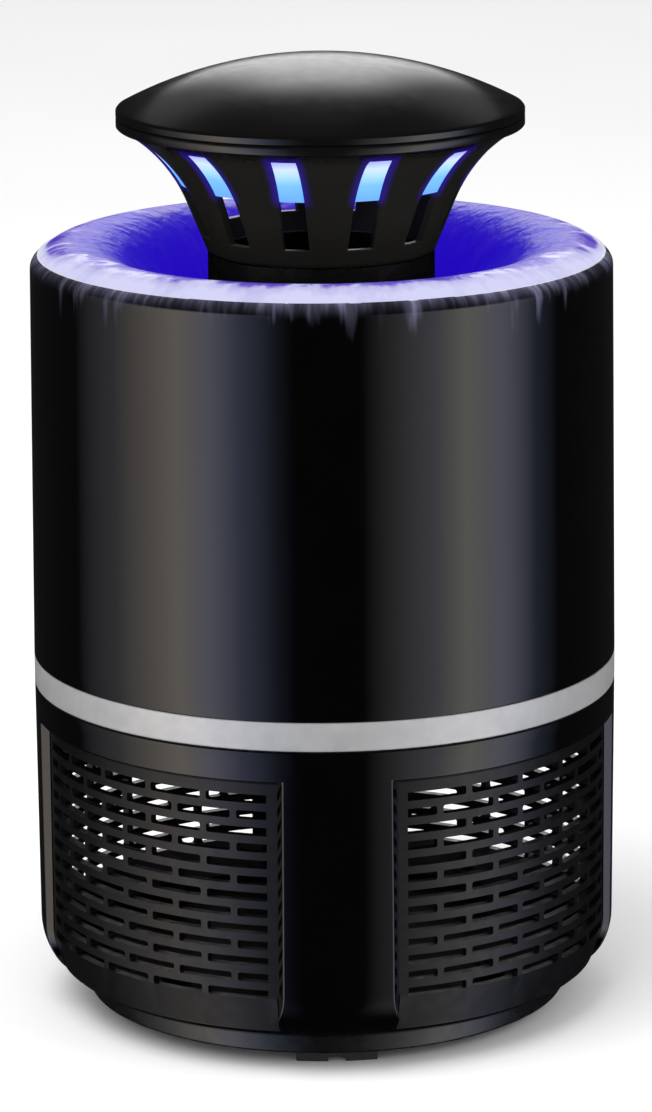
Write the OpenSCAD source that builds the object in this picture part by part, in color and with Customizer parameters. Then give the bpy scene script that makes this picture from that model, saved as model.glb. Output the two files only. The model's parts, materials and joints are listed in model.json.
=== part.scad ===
// Suction insect trap: a round body with a lit bell-mouth inlet, a slotted lamp head over it,
// a fan below it, and a lift-off collector with mesh windows that it stands on.
// Millimetres. +Z is up, the front is -Y, and the origin is on the floor at the middle.

/* [Body] */
// Largest diameter of the body, at the trim ring
body_d = 130; // [128:1:134]
// Height of the collector's rim above the floor
collector_h = 74; // [73:0.5:76]
// Height of the bright trim ring
trim_h = 6.4; // [5:0.2:8]
// Height of the upper housing above the trim ring
housing_h = 90; // [88:1:94]
// How much the housing's radius shrinks towards its top
housing_draft = 0.8; // [0:0.1:1.2]
// Radius of the housing's top edge
shoulder_r = 3; // [2:0.5:3.5]
// Radius of the collector's bottom edge
corner_r = 13; // [12:0.5:14]
// Turn of the front pillar away from the front
pillar_turn = 2.3; // [-5:0.1:5]

/* [Mesh windows] */
// Half the angle of a window at its floor
window_half = 32.9; // [30:0.1:34]
// Depth of the recess that a mesh sits in
recess = 2; // [1.6:0.1:2]
// Rows of slots in a mesh
slot_rows = 13; // [8:1:13]
// Distance between two rows
row_pitch = 3.65; // [3.4:0.01:3.66]
// Height of a slot
slot_h = 1.9; // [1.4:0.1:2.2]
// Angle from one slot to the next
slot_pitch = 12.7; // [12:0.1:12.8]
// Width of the bar between two slots
slot_bar = 1.45; // [1:0.05:2.5]
// Angle that the bars are moved away from the front pillar or the rear one
bar_shift = 1.1; // [0:0.1:2]

/* [Inlet] */
// Diameter of the throat
throat_d = 67; // [64:1:68]
// Radius of the circle along the crest of the bell mouth
crest_r = 54.5; // [54:0.5:55]
// Height of the crest above the housing's top edge
crest_rise = 2.6; // [2:0.1:3]

/* [Lamp head] */
// Diameter of the neck at its seam
neck_d = 50; // [48:1:52]
// Height of the neck's seam above the floor
seam_z = 170.7; // [170.4:0.1:171]
// Openings around the neck
openings = 12; // [8:1:14]
// Width of one opening
opening_w = 5.6; // [4:0.2:6.4]
// Turn of the openings away from the front
opening_turn = 18.5; // [-15:0.5:30]
// Diameter of the head's rim
rim_d = 89.6; // [88.4:0.2:90.4]
// Height of the dome above the rim
dome_h = 11; // [9:0.5:14]

/* [Fan] */
// Diameter of the impeller
fan_d = 79.4; // [70:0.2:80]
// Blades on the impeller
blades = 7; // [5:1:9]
// Slope of a blade
blade_slope = 38; // [30:1:45]
// Diameter of the motor
motor_d = 24.4; // [22:0.1:25]

/* [Hidden] */
$fn = 96;

body_r = body_d / 2;
wall = 2;
eps = 0.05;
inner_r = body_r - wall;

// collector
base_z = 2.6;
lip_z = 7;
floor_t = 2;
base_r = 53.9;
base_ring_w = 10;
bottom_r = body_r - 0.3;
corner_c = bottom_r - corner_r;
corner_z = lip_z + corner_r - 0.5;
ledge_z = lip_z + 2.9;
ledge_r = corner_c + sqrt(pow(corner_r, 2) - pow(corner_z - ledge_z, 2));
band_top_z = 17.2;
window_top_z = collector_h - 8;
bevel_rise = 1.1;
bevel_turn = 1.7;
mesh_r = body_r - recess;
mesh_t = 1.8;
mesh_top_z = window_top_z + 1.6;
top_row_z = window_top_z - 3.3;
field_half = 2.5 * slot_pitch;
boss_r = 49;
foot_r = 48.4;
foot_w = 6;
foot_span = 20;
foot_notch = 4.4;
windows = [for (k = [0 : 3]) pillar_turn + 45 + 90 * k];
pillars = [for (k = [0 : 3]) pillar_turn + 90 * k];

// upper housing
housing_z = collector_h + trim_h;
top_z = housing_z + housing_h;
shoulder_z = top_z - shoulder_r;
top_r = body_r - housing_draft;
skirt_r = 62.75;
ring_bevel = 0.3;
skirt_in = 60.6;
cavity_r = 62.4;
lip_r = 61.1;
funnel_flange_z = top_z - 4;
housing_boss_r = 57.5;
tray_z = collector_h - wall;
tray_hole_r = 40.6;
collar_r = inner_r - 0.3;
collar_z = mesh_top_z + 0.4;
duct_r = 42;
duct_t = 2;
mount_z = 143;
mount_t = 6;
mount_top = mount_z + mount_t;
duct_boss_r = 47;
throat_r = throat_d / 2;
crest_z = top_z + crest_rise;
mouth_r = crest_r - throat_r;
funnel_t = 1.6;
outer_roll_r = 9;

// head
neck_r = neck_d / 2;
hub_r = 22.8;
spigot_in = 20.8;
spigot_z = 156;
neck_wall = 1.8;
flare_c = [61.5, 168.8];
flare_r = 34.5;
cone_top_z = 181.6;
cone_top_r = flare_c[0] - sqrt(pow(flare_r, 2) - pow(cone_top_z - flare_c[1], 2));
rim_r = rim_d / 2;
rim_z = 198.2;
rim_seam_z = 200.6;
dome_z = 202.6;
dome_base_r = rim_r - 0.4;
dome_r = (pow(dome_base_r, 2) + pow(dome_h, 2)) / (2 * dome_h);
dome_c = dome_z + dome_h - dome_r;
opening_z0 = 175;
opening_z1 = 196.4;
diffuser_z0 = 186.2;
diffuser_z1 = 197.8;
led_t = 1.6;
led_ring_r = 31.2;
cap_boss_r = 15;
neck_screw_z = 160;

// fan and motor
bracket_z = 79;
arm_t = 4;
cup_floor_t = 2;
motor_z = bracket_z + cup_floor_t;
motor_h = 14;
motor_r = motor_d / 2;
shaft_r = 1;
bush_r = 2.6;
bush_gap = 0.04;
hub_z = 98;
hub_h = 18;
hub_out_r = 16;
blade_t = 1.5;
camber_r = 30;

// electrics, at the rear
board_y = 46.2;
board_t = 1.6;
board_front = board_y + board_t;
board_w = 30;
board_z0 = 80;
board_z1 = 116;
post_x = 12;
post_z = [83.5, 112.5];
socket_z = 91;
socket_w = 9;
socket_end = 61.5;
nose_end = 63.9;
button_z = 104;
button_r = 5;
button_gap = 0.25;
dish_r = 8.25;
dish_y = 62.6;
button_boss_r = 8.3;
button_boss_y = 58.5;
cap_flange_y = 56.9;
cap_face_y = 64.3;
switch_w = 8.5;
switch_h = 6;
plunger_w = 3;
lead_hole_z = 136.5;
fan_lead_z = 77.6;
lead_hole_r = 1.3;

// Route of the lamp's lead: board connector, duct wall, underside of an arm, up the neck
led_route = [
    [5.5, 49.4, 115.5], [5.5, 49.4, 119], [5, 50, 125], [2, 50, 131], [0, 48, 135.5],
    [0, 44, 136.5], [0, 40, 137.5], [0, 36, 141.2], [0, 30, 141.6], [0, 24, 141.6],
    [0, 20.5, 143.5], [0, 19.3, 148], [0, 19.3, 160], [0, 19.3, 175], [0, 19.3, 190],
    [0, 18.4, 194.5], [0, 18, 197.8]
];
// Route of the motor's lead: board connector, duct wall, under an arm, up through the cup's floor
fan_route = [
    [-6.5, 49.4, 80.5], [-6.5, 49.4, 79.8], [-6.4, 49.2, 79.2], [-4, 48, 77.8], [0, 44, 77.6],
    [0, 36, 77.6],
    [0, 24, 77.6], [0, 12, 77.6], [0, 8, 78.2], [0, 6.5, 79.6], [0, 6.5, 81]
];

// ---- helpers ----

module at_angles(angles) {
    for (a = angles) rotate([0, 0, a]) children();
}

// Turns a profile of [radius, height] points through an angle centred on the front
module sector(half_angle) {
    rotate([0, 0, -90 - half_angle]) rotate_extrude(angle = 2 * half_angle) children();
}

module ring(r0, r1, z0, z1) {
    translate([0, 0, z0]) difference() {
        cylinder(r = r1, h = z1 - z0);
        translate([0, 0, -1]) cylinder(r = r0, h = z1 - z0 + 2);
    }
}

module post(x, z, r, y0, y1) {
    translate([x, y0, z]) rotate([-90, 0, 0]) cylinder(r = r, h = y1 - y0, $fn = 32);
}

// A pan-head screw that points up from z = 0, its head below
module screw(shank_r, shank_h, head_r, head_h) {
    difference() {
        union() {
            cylinder(r = shank_r, h = shank_h, $fn = 24);
            translate([0, 0, -head_h]) cylinder(r1 = head_r - 0.4, r2 = head_r, h = head_h, $fn = 32);
        }
        for (a = [0, 90]) rotate([0, 0, a])
            translate([-head_r * 0.6, -0.35, -head_h - 1]) cube([head_r * 1.2, 0.7, 1 + head_h * 0.55]);
    }
}

function unit(v) = v / norm(v);

// A point on the smooth curve through the route, between points i and i + 1
function on_curve(p, i, t) =
    let (a = p[max(i - 1, 0)], b = p[i], c = p[i + 1], d = p[min(i + 2, len(p) - 1)])
    0.5 * (2 * b + (c - a) * t + (2 * a - 5 * b + 4 * c - d) * t * t
        + (3 * b - a - 3 * c + d) * t * t * t);

function smooth(p, steps) = concat(
    [for (i = [0 : len(p) - 2], s = [0 : steps - 1]) on_curve(p, i, s / steps)], [p[len(p) - 1]]);

// A round tube along a route that never runs along X
module tube(route, r, sides, steps) {
    p = smooth(route, steps);
    n = len(p);
    ahead = [for (i = [0 : n - 1]) unit(p[min(i + 1, n - 1)] - p[max(i - 1, 0)])];
    points = [for (i = [0 : n - 1])
        let (u = unit(cross(ahead[i], [1, 0, 0])), v = cross(ahead[i], u))
        for (k = [0 : sides - 1]) p[i] + r * (cos(360 * k / sides) * u + sin(360 * k / sides) * v)];
    walls = [for (i = [0 : n - 2], k = [0 : sides - 1])
        let (a = i * sides + k, b = i * sides + (k + 1) % sides) [a, a + sides, b + sides, b]];
    ends = [[for (k = [0 : sides - 1]) k], [for (k = [sides - 1 : -1 : 0]) (n - 1) * sides + k]];
    polyhedron(points = points, faces = concat(walls, ends));
}

// ---- collector ----

module collector_outline() {
    polygon([[0, corner_z], [bottom_r, corner_z], [body_r, collector_h], [0, collector_h]]);
    intersection() {
        translate([corner_c, corner_z]) circle(r = corner_r);
        translate([corner_c, lip_z]) square([corner_r + 1, corner_z - lip_z]);
    }
    translate([0, lip_z]) square([corner_c, corner_z - lip_z]);
}

module collector_hollow() {
    translate([0, corner_z]) square([inner_r, collector_h]);
    intersection() {
        translate([corner_c, corner_z]) circle(r = corner_r - wall + 0.3);
        translate([corner_c, lip_z + floor_t]) square([corner_r, corner_z]);
    }
    translate([0, lip_z + floor_t]) square([corner_c, corner_z]);
    square([boss_r - 4, collector_h]);
}

function at_polar(r, a) = [r * sin(a), -r * cos(a)];

// The space that one window takes out of the wall, with bevelled sides and top
module window_cut() {
    side = window_half + bevel_turn * 2.5;
    intersection() {
        rotate_extrude() polygon([
            [52, ledge_z], [52, window_top_z], [mesh_r, window_top_z],
            [body_r, window_top_z + bevel_rise], [body_r + 3, window_top_z + bevel_rise * 2.5],
            [body_r + 3, ledge_z]
        ]);
        linear_extrude(height = collector_h) polygon([
            [0, 0], at_polar(mesh_r, -window_half), at_polar(mesh_r + 2.5 * recess, -side),
            at_polar(body_r + 40, -side), at_polar(body_r + 40, side),
            at_polar(mesh_r + 2.5 * recess, side), at_polar(mesh_r, window_half)
        ]);
    }
}

module collector_shell() {
    color([0.03, 0.03, 0.035]) difference() {
        union() {
            rotate_extrude() difference() {
                collector_outline();
                collector_hollow();
            }
            at_angles(windows) translate([0, -boss_r, lip_z + 0.5]) cylinder(r = 3.2, h = 9, $fn = 32);
        }
        at_angles(windows) window_cut();
        at_angles(windows) translate([0, -boss_r, lip_z - 1]) cylinder(r = 1.3, h = 9, $fn = 24);
    }
}

// Angles where a row of slots has its bars; every other row is moved by half a slot
function bar_angles(row, side) =
    let (half = (row % 2) * slot_pitch / 2)
    concat([-field_half], [for (k = [1 : 5])
        let (a = -field_half + k * slot_pitch - half + side * bar_shift)
        if (a < field_half - slot_pitch / 4) a], [field_half]);

module mesh_slots(side) {
    for (row = [0 : slot_rows - 1]) {
        bars = bar_angles(row, side);
        for (i = [0 : len(bars) - 2]) {
            span = bars[i + 1] - bars[i];
            length = 2 * mesh_r * sin(span / 2) - slot_bar;
            rotate([0, 0, (bars[i] + bars[i + 1]) / 2])
                translate([-length / 2, -mesh_r - 2, top_row_z - row * row_pitch - slot_h / 2])
                cube([length, 6, slot_h]);
        }
    }
}

module grille(angle, side) {
    spare = 5;
    color([0.07, 0.07, 0.075]) rotate([0, 0, angle]) difference() {
        sector(window_half + 1.5) polygon([
            [ledge_r - mesh_t, ledge_z], [ledge_r, ledge_z], [mesh_r, band_top_z],
            [mesh_r, mesh_top_z], [mesh_r - mesh_t, mesh_top_z], [mesh_r - mesh_t, band_top_z]
        ]);
        at_angles([-window_half - spare + 0.05, window_half + spare - 0.05]) sector(spare)
            translate([mesh_r - 10, ledge_z - 1]) square([20, corner_z - ledge_z + 1]);
        mesh_slots(side);
    }
}

module grille_front_left() { grille(windows[3], -1); }
module grille_front_right() { grille(windows[0], 1); }
module grille_rear_left() { grille(windows[2], 1); }
module grille_rear_right() { grille(windows[1], -1); }

module foot_pad(grow, z0, z1) {
    sector(foot_span / 2 + grow) translate([foot_r - foot_w / 2 - grow, z0])
        square([foot_w + 2 * grow, z1 - z0]);
}

module base_plate() {
    color([0.05, 0.05, 0.05]) difference() {
        translate([0, 0, base_z]) cylinder(r = base_r, h = lip_z - base_z);
        translate([0, 0, base_z - 1]) cylinder(r = base_r - base_ring_w, h = 3);
        at_angles(pillars) foot_pad(0, base_z - 1, base_z + 1);
        at_angles(windows) translate([0, -boss_r, 0]) {
            cylinder(r = 1.7, h = 20, $fn = 24);
            cylinder(r = 3.2, h = base_z + 2, $fn = 32);
        }
    }
}

module base_screws() {
    color("silver") at_angles(windows) translate([0, -boss_r, base_z + 2]) screw(1.25, 9, 2.8, 1.6);
}

module feet() {
    color([0.1, 0.1, 0.1]) at_angles(pillars) difference() {
        foot_pad(0, 0, base_z + 1);
        sector(foot_notch / 2) translate([foot_r - foot_w, -1]) square([2 * foot_w, 2.2]);
    }
}

// ---- upper housing ----

module housing_outline() {
    polygon([
        [0, collector_h], [skirt_r, collector_h], [skirt_r, housing_z], [body_r, housing_z],
        [top_r, shoulder_z], [0, shoulder_z]
    ]);
    translate([top_r - shoulder_r, shoulder_z]) circle(r = shoulder_r, $fn = 48);
    translate([0, shoulder_z - 1]) square([top_r - shoulder_r, shoulder_r + 1]);
}

module housing_hollow() {
    translate([0, collector_h - 1]) square([skirt_in, 12]);
    translate([0, housing_z + 2.2]) square([cavity_r, funnel_flange_z - housing_z - 2.2]);
    translate([0, funnel_flange_z - 1]) square([lip_r, 20]);
}

module housing_shell() {
    color([0.02, 0.02, 0.025]) difference() {
        union() {
            rotate_extrude() difference() {
                housing_outline();
                housing_hollow();
            }
            at_angles(windows) translate([0, -housing_boss_r, collector_h])
                cylinder(r = 3.6, h = 24, $fn = 32);
            at_angles(windows) translate([-1, -housing_boss_r - 5.4, housing_z + 2])
                cube([2, 3, 15.6]);
            post(0, button_z, button_boss_r, button_boss_y, 62);
        }
        at_angles(windows) translate([0, -housing_boss_r, collector_h - 1])
            cylinder(r = 1.3, h = 18, $fn = 24);
        post(0, button_z, button_r + button_gap, 50, 80);
        post(0, button_z, dish_r, dish_y, 80);
        post(0, socket_z, 4.3, 50, 80);
        post(0, socket_z, 6, nose_end, 80);
    }
}

module trim_ring() {
    color([0.78, 0.78, 0.8]) rotate_extrude() polygon([
        [skirt_r + eps, collector_h], [body_r - ring_bevel, collector_h],
        [body_r, collector_h + ring_bevel], [body_r, housing_z - ring_bevel],
        [body_r - ring_bevel, housing_z], [skirt_r + eps, housing_z]
    ]);
}

module fan_tray() {
    color([0.08, 0.08, 0.08]) difference() {
        union() {
            ring(tray_hole_r, collar_r, tray_z, collector_h);
            ring(collar_r - wall, collar_r, collar_z, collector_h);
        }
        at_angles(windows) for (r = [duct_boss_r, housing_boss_r])
            translate([0, -r, tray_z - 1]) cylinder(r = 1.6, h = 5, $fn = 24);
    }
}

module tray_screws() {
    color("silver") at_angles(windows) {
        translate([0, -housing_boss_r, tray_z]) screw(1.25, 14, 2.6, 1.6);
        translate([0, -duct_boss_r, tray_z]) screw(1.25, 9, 2.6, 1.6);
    }
}

module fan_duct() {
    color([0.12, 0.12, 0.12]) difference() {
        union() {
            translate([0, 0, collector_h]) cylinder(r = duct_r + duct_t, h = mount_z - collector_h);
            translate([0, 0, collector_h]) cylinder(r = duct_boss_r + 2, h = 2.2);
            at_angles(windows) translate([0, -duct_boss_r, collector_h])
                cylinder(r = 3.2, h = 10, $fn = 32);
            for (x = [-post_x, post_x], z = post_z) post(x, z, 2.6, duct_r - 0.8, board_y);
        }
        at_angles(windows) translate([0, -duct_boss_r, collector_h - 1])
            cylinder(r = 1.3, h = 10, $fn = 24);
        for (x = [-post_x, post_x], z = post_z) post(x, z, 0.8, duct_r + 1, board_y + 1);
        post(0, lead_hole_z, 2, 38, 48);
        post(0, fan_lead_z, lead_hole_r, 38, 52);
        translate([0, 0, collector_h - 1]) cylinder(r = duct_r, h = mount_z - collector_h + 2);
    }
}

module neck_mount() {
    color([0.1, 0.1, 0.1]) difference() {
        union() {
            ring(throat_r, duct_r + duct_t + 2, mount_top - 1.6, mount_top);
            ring(duct_r, duct_r + duct_t + 2, mount_z, mount_top);
            ring(duct_r + duct_t + eps, duct_r + duct_t + 2, mount_z - 4, mount_top);
            ring(hub_r, neck_r, mount_z, seam_z - 0.1);
            at_angles([0, 90, 180, 270]) translate([-1.5, -duct_r - 1, mount_z])
                cube([3, duct_r + 1 - hub_r - 1, mount_t]);
        }
        at_angles([30, 150, 270]) translate([0, 0, neck_screw_z]) rotate([90, 0, 0])
            cylinder(r = 1.3, h = 40, $fn = 24);
    }
}

// Half of the bell mouth's wall, as a band between two circles about one centre
module roll_band(centre, r) {
    translate(centre) difference() {
        circle(r = r);
        circle(r = r - funnel_t);
    }
}

module inlet_funnel() {
    color([0.55, 0.5, 0.95]) rotate_extrude() {
        intersection() {
            roll_band([crest_r, crest_z - mouth_r], mouth_r);
            translate([throat_r - 1, crest_z - mouth_r]) square([mouth_r + 1, mouth_r + 1]);
        }
        intersection() {
            roll_band([crest_r, crest_z - outer_roll_r], outer_roll_r);
            translate([crest_r, top_z - 2.5]) square([lip_r - 0.1 - crest_r, 10]);
        }
        translate([throat_r, mount_top]) square([funnel_t, crest_z - mouth_r - mount_top]);
        translate([lip_r - 0.1 - funnel_t, funnel_flange_z - funnel_t])
            square([funnel_t, top_z - funnel_flange_z + funnel_t - 0.4]);
        translate([lip_r - 0.1 - funnel_t, funnel_flange_z - funnel_t]) square([2.8, funnel_t]);
    }
}

// ---- lamp head ----

module neck_screws() {
    color("silver") at_angles([30, 150, 270]) translate([0, -neck_r, neck_screw_z])
        rotate([-90, 0, 0]) screw(1.2, 5, 2.3, 1.4);
}

// Everything inside the flared neck's surface, set back by an offset
module neck_outline(back, r_max, z_top) {
    polygon([
        [0, seam_z], [neck_r - back, seam_z], [cone_top_r - back * 1.06, cone_top_z],
        [0, cone_top_z]
    ]);
    difference() {
        translate([0, cone_top_z]) square([r_max, z_top - cone_top_z]);
        translate(flare_c) circle(r = flare_r + back, $fn = 180);
    }
}

module head_shell() {
    color([0.05, 0.05, 0.055]) difference() {
        union() {
            rotate_extrude() difference() {
                union() {
                    neck_outline(0, rim_r, rim_z + 0.6);
                    translate([0, rim_z]) square([rim_r, rim_seam_z - rim_z]);
                    translate([0, spigot_z]) square([hub_r - eps, seam_z - spigot_z + 1]);
                }
                difference() {
                    neck_outline(neck_wall, rim_r - 2.2, rim_seam_z + 1);
                    square([neck_r, seam_z + 1.8]);
                }
                square([spigot_in, rim_z]);
            }
        }
        at_angles([for (k = [0 : openings - 1]) opening_turn + 360 / openings * k])
            translate([-opening_w / 2, -rim_r - 1, opening_z0])
            cube([opening_w, rim_r - spigot_in + 1, opening_z1 - opening_z0]);
        at_angles([30, 150, 270]) translate([0, 0, neck_screw_z]) rotate([90, 0, 0])
            cylinder(r = 1.2, h = 40, $fn = 24);
    }
}

module light_diffuser() {
    color([0.55, 0.75, 1]) rotate_extrude() intersection() {
        translate(flare_c) difference() {
            circle(r = flare_r + neck_wall + 2.2, $fn = 180);
            circle(r = flare_r + neck_wall + 0.1, $fn = 180);
        }
        translate([20, diffuser_z0]) square([25, diffuser_z1 - diffuser_z0]);
    }
}

module led_board() {
    color([0.85, 0.87, 0.85]) difference() {
        ring(9, 39, diffuser_z1, diffuser_z1 + led_t);
        at_angles([0, 120, 240]) translate([0, -cap_boss_r, diffuser_z1 - 1])
            cylinder(r = 1.3, h = 4, $fn = 24);
    }
}

module leds() {
    color([0.6, 0.55, 1]) at_angles([for (k = [0 : openings - 1]) opening_turn + 360 / openings * k])
        translate([-1.75, -led_ring_r - 1.4, diffuser_z1 - 1.9]) cube([3.5, 2.8, 1.9]);
}

module board_clamp_screws() {
    color("silver") at_angles([0, 120, 240]) translate([0, -cap_boss_r, diffuser_z1])
        screw(0.95, 7, 2, 1.3);
}

module dome_cap(inset) {
    intersection() {
        translate([0, dome_c]) circle(r = dome_r - inset, $fn = 240);
        translate([0, dome_z - 3]) square([dome_base_r - inset, dome_h + 4]);
    }
}

module head_cap() {
    color([0.03, 0.03, 0.03]) difference() {
        union() {
            rotate_extrude() difference() {
                union() {
                    intersection() {
                        dome_cap(0);
                        translate([0, dome_z]) square([rim_r, dome_h + 1]);
                    }
                    translate([0, rim_seam_z]) square([rim_r, dome_z - rim_seam_z - 0.4]);
                    translate([0, rim_seam_z]) square([dome_base_r, dome_z - rim_seam_z]);
                    translate([0, rim_seam_z - 1]) square([rim_r - 2.3, 2]);
                }
                intersection() {
                    dome_cap(2);
                    translate([0, rim_seam_z + 0.4]) square([rim_r, 20]);
                }
                square([rim_r - 4.2, rim_seam_z + 0.6]);
            }
            intersection() {
                at_angles([0, 120, 240]) translate([0, -cap_boss_r, diffuser_z1 + led_t])
                    cylinder(r = 3, h = 14, $fn = 32);
                translate([0, 0, dome_c]) sphere(r = dome_r - 1, $fn = 120);
            }
        }
        at_angles([0, 120, 240]) translate([0, -cap_boss_r, diffuser_z1 + led_t - 1])
            cylinder(r = 1, h = 7.5, $fn = 24);
    }
}

// ---- fan and motor ----

module motor_bracket() {
    color([0.1, 0.1, 0.1]) difference() {
        union() {
            ring(duct_r - 2, duct_r - 0.1, collector_h, bracket_z + arm_t);
            translate([0, 0, bracket_z]) cylinder(r = motor_r + 1.7, h = 12);
            at_angles([0, 90, 180, 270]) translate([-2, -duct_r + 1, bracket_z])
                cube([4, duct_r - 1 - motor_r, arm_t]);
        }
        translate([0, 0, motor_z]) cylinder(r = motor_r + eps, h = 20);
        translate([0, 6.5, bracket_z - 1]) cylinder(r = 1.8, h = 5, $fn = 24);
        post(0, fan_lead_z, lead_hole_r, 38, 44);
    }
}

module motor_can() {
    color("silver") difference() {
        union() {
            translate([0, 0, motor_z]) cylinder(r = motor_r, h = motor_h);
            translate([0, 0, motor_z + motor_h]) cylinder(r = 4, h = 1.2, $fn = 32);
        }
        translate([0, 0, motor_z - 1]) cylinder(r = motor_r - 0.7, h = motor_h);
        translate([0, 0, motor_z]) cylinder(r = bush_r, h = motor_h + 5, $fn = 32);
    }
}

module motor_end_cap() {
    color([0.9, 0.9, 0.85]) ring(bush_r, motor_r - 0.75, motor_z, motor_z + 2.4);
}

module motor_magnets() {
    color([0.3, 0.3, 0.32]) at_angles([0, 180])
        sector(62) translate([motor_r - 3, motor_z + 3.6]) square([2.25, 8]);
}

module motor_bushes() {
    color([0.72, 0.5, 0.25]) {
        ring(shaft_r + bush_gap, bush_r, motor_z, motor_z + 3);
        ring(shaft_r + bush_gap, bush_r, motor_z + motor_h - 2, motor_z + motor_h + 1.2);
    }
}

module motor_shaft() {
    color([0.8, 0.8, 0.82]) translate([0, 0, motor_z + 0.6])
        cylinder(r = shaft_r, h = hub_z + hub_h - 3 - motor_z, $fn = 32);
}

module motor_armature() {
    color([0.75, 0.4, 0.15]) difference() {
        union() {
            translate([0, 0, motor_z + 4.6]) cylinder(r = motor_r - 3.6, h = 6);
            translate([0, 0, motor_z + 3.4]) cylinder(r = 2, h = 1.4, $fn = 32);
        }
        at_angles([0, 120, 240]) translate([-0.8, -motor_r, motor_z + 4]) cube([1.6, motor_r - 3.5, 8]);
        translate([0, 0, motor_z]) cylinder(r = shaft_r, h = motor_h, $fn = 32);
    }
}

// One cambered blade that points forward, from inside the hub's wall outwards
module blade() {
    translate([0, -hub_out_r + 5, hub_z + hub_h / 2]) rotate([90, 0, 0]) rotate([0, 0, blade_slope])
        linear_extrude(height = fan_d / 2 - hub_out_r + 7) intersection() {
            translate([0, -camber_r]) difference() {
                circle(r = camber_r + blade_t / 2, $fn = 120);
                circle(r = camber_r - blade_t / 2, $fn = 120);
            }
            translate([-11.5, -4]) square([23, 6]);
        }
}

module fan_impeller() {
    color([0.15, 0.15, 0.16]) difference() {
        union() {
            translate([0, 0, hub_z]) cylinder(r = hub_out_r, h = hub_h);
            intersection() {
                at_angles([for (k = [0 : blades - 1]) 360 / blades * k]) blade();
                translate([0, 0, hub_z - 1]) cylinder(r = fan_d / 2, h = hub_h + 2);
            }
        }
        difference() {
            translate([0, 0, hub_z - 1]) cylinder(r = hub_out_r - 1.8, h = hub_h - 1);
            translate([0, 0, hub_z - 2]) cylinder(r = 3.4, h = hub_h);
        }
        translate([0, 0, hub_z - 1]) cylinder(r = shaft_r, h = hub_h - 1.4, $fn = 32);
    }
}

// ---- electrics ----

module control_board() {
    color([0.05, 0.3, 0.12]) difference() {
        translate([-board_w / 2, board_y, board_z0]) cube([board_w, board_t, board_z1 - board_z0]);
        for (x = [-post_x, post_x], z = post_z) post(x, z, 1.1, board_y - 1, board_y + 3);
    }
}

module chip(x, z, w, h, t) {
    translate([x - w / 2, board_front, z - h / 2]) cube([w, t, h]);
}

module board_components() {
    color([0.12, 0.12, 0.12]) {
        chip(5.5, 113.3, 5, 4.4, 3.2);
        chip(-6.5, 82.7, 5, 4.4, 3.2);
        chip(-9, 98, 5, 5, 1.6);
        chip(9, 97, 6, 6, 3);
        chip(-9, 105, 3, 2, 1);
        post(8.5, 105.5, 2.5, board_front, board_front + 7);
    }
}

module board_screws() {
    color("silver") for (x = [-post_x, post_x], z = post_z) translate([x, board_front, z])
        rotate([90, 0, 0]) screw(0.75, 3.5, 1.8, 1.1);
}

module power_socket() {
    color([0.1, 0.1, 0.1]) {
        difference() {
            union() {
                chip(0, socket_z, socket_w, socket_w, socket_end - board_front);
                post(0, socket_z, 4, socket_end - 1, nose_end);
            }
            post(0, socket_z, 3.1, socket_end - 9, 80);
        }
        post(0, socket_z, 1, socket_end - 10, nose_end - 1);
    }
}

module power_switch() {
    slack = 0.2;
    color([0.85, 0.85, 0.85]) difference() {
        chip(0, button_z, switch_w, switch_w, switch_h);
        translate([-plunger_w / 2 - slack, board_front + 1.6, button_z - plunger_w / 2 - slack])
            cube([plunger_w + 2 * slack, switch_h, plunger_w + 2 * slack]);
    }
}

module switch_plunger() {
    color([0.9, 0.9, 0.9]) translate([-plunger_w / 2, board_front + 3.4, button_z - plunger_w / 2])
        cube([plunger_w, cap_flange_y - board_front - 3.4, plunger_w]);
}

module button_cap() {
    color([0.2, 0.2, 0.2]) {
        post(0, button_z, 6.5, cap_flange_y, cap_flange_y + 1.3);
        post(0, button_z, button_r, cap_flange_y + 1, cap_face_y - 0.5);
        translate([0, cap_face_y - 0.5, button_z]) rotate([-90, 0, 0])
            cylinder(r1 = button_r, r2 = button_r - 0.5, h = 0.5, $fn = 32);
    }
}

module led_lead() {
    color([0.05, 0.05, 0.05]) tube(led_route, 1.1, 8, 3);
}

module fan_lead() {
    color([0.6, 0.1, 0.1]) tube(fan_route, 1, 8, 3);
}

collector_shell();
grille_front_left();
grille_front_right();
grille_rear_left();
grille_rear_right();
base_plate();
base_screws();
feet();
housing_shell();
trim_ring();
fan_tray();
tray_screws();
fan_duct();
neck_mount();
inlet_funnel();
neck_screws();
head_shell();
light_diffuser();
led_board();
leds();
board_clamp_screws();
head_cap();
motor_bracket();
motor_can();
motor_end_cap();
motor_magnets();
motor_bushes();
motor_shaft();
motor_armature();
fan_impeller();
control_board();
board_components();
board_screws();
power_socket();
power_switch();
switch_plunger();
button_cap();
led_lead();
fan_lead();
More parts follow.
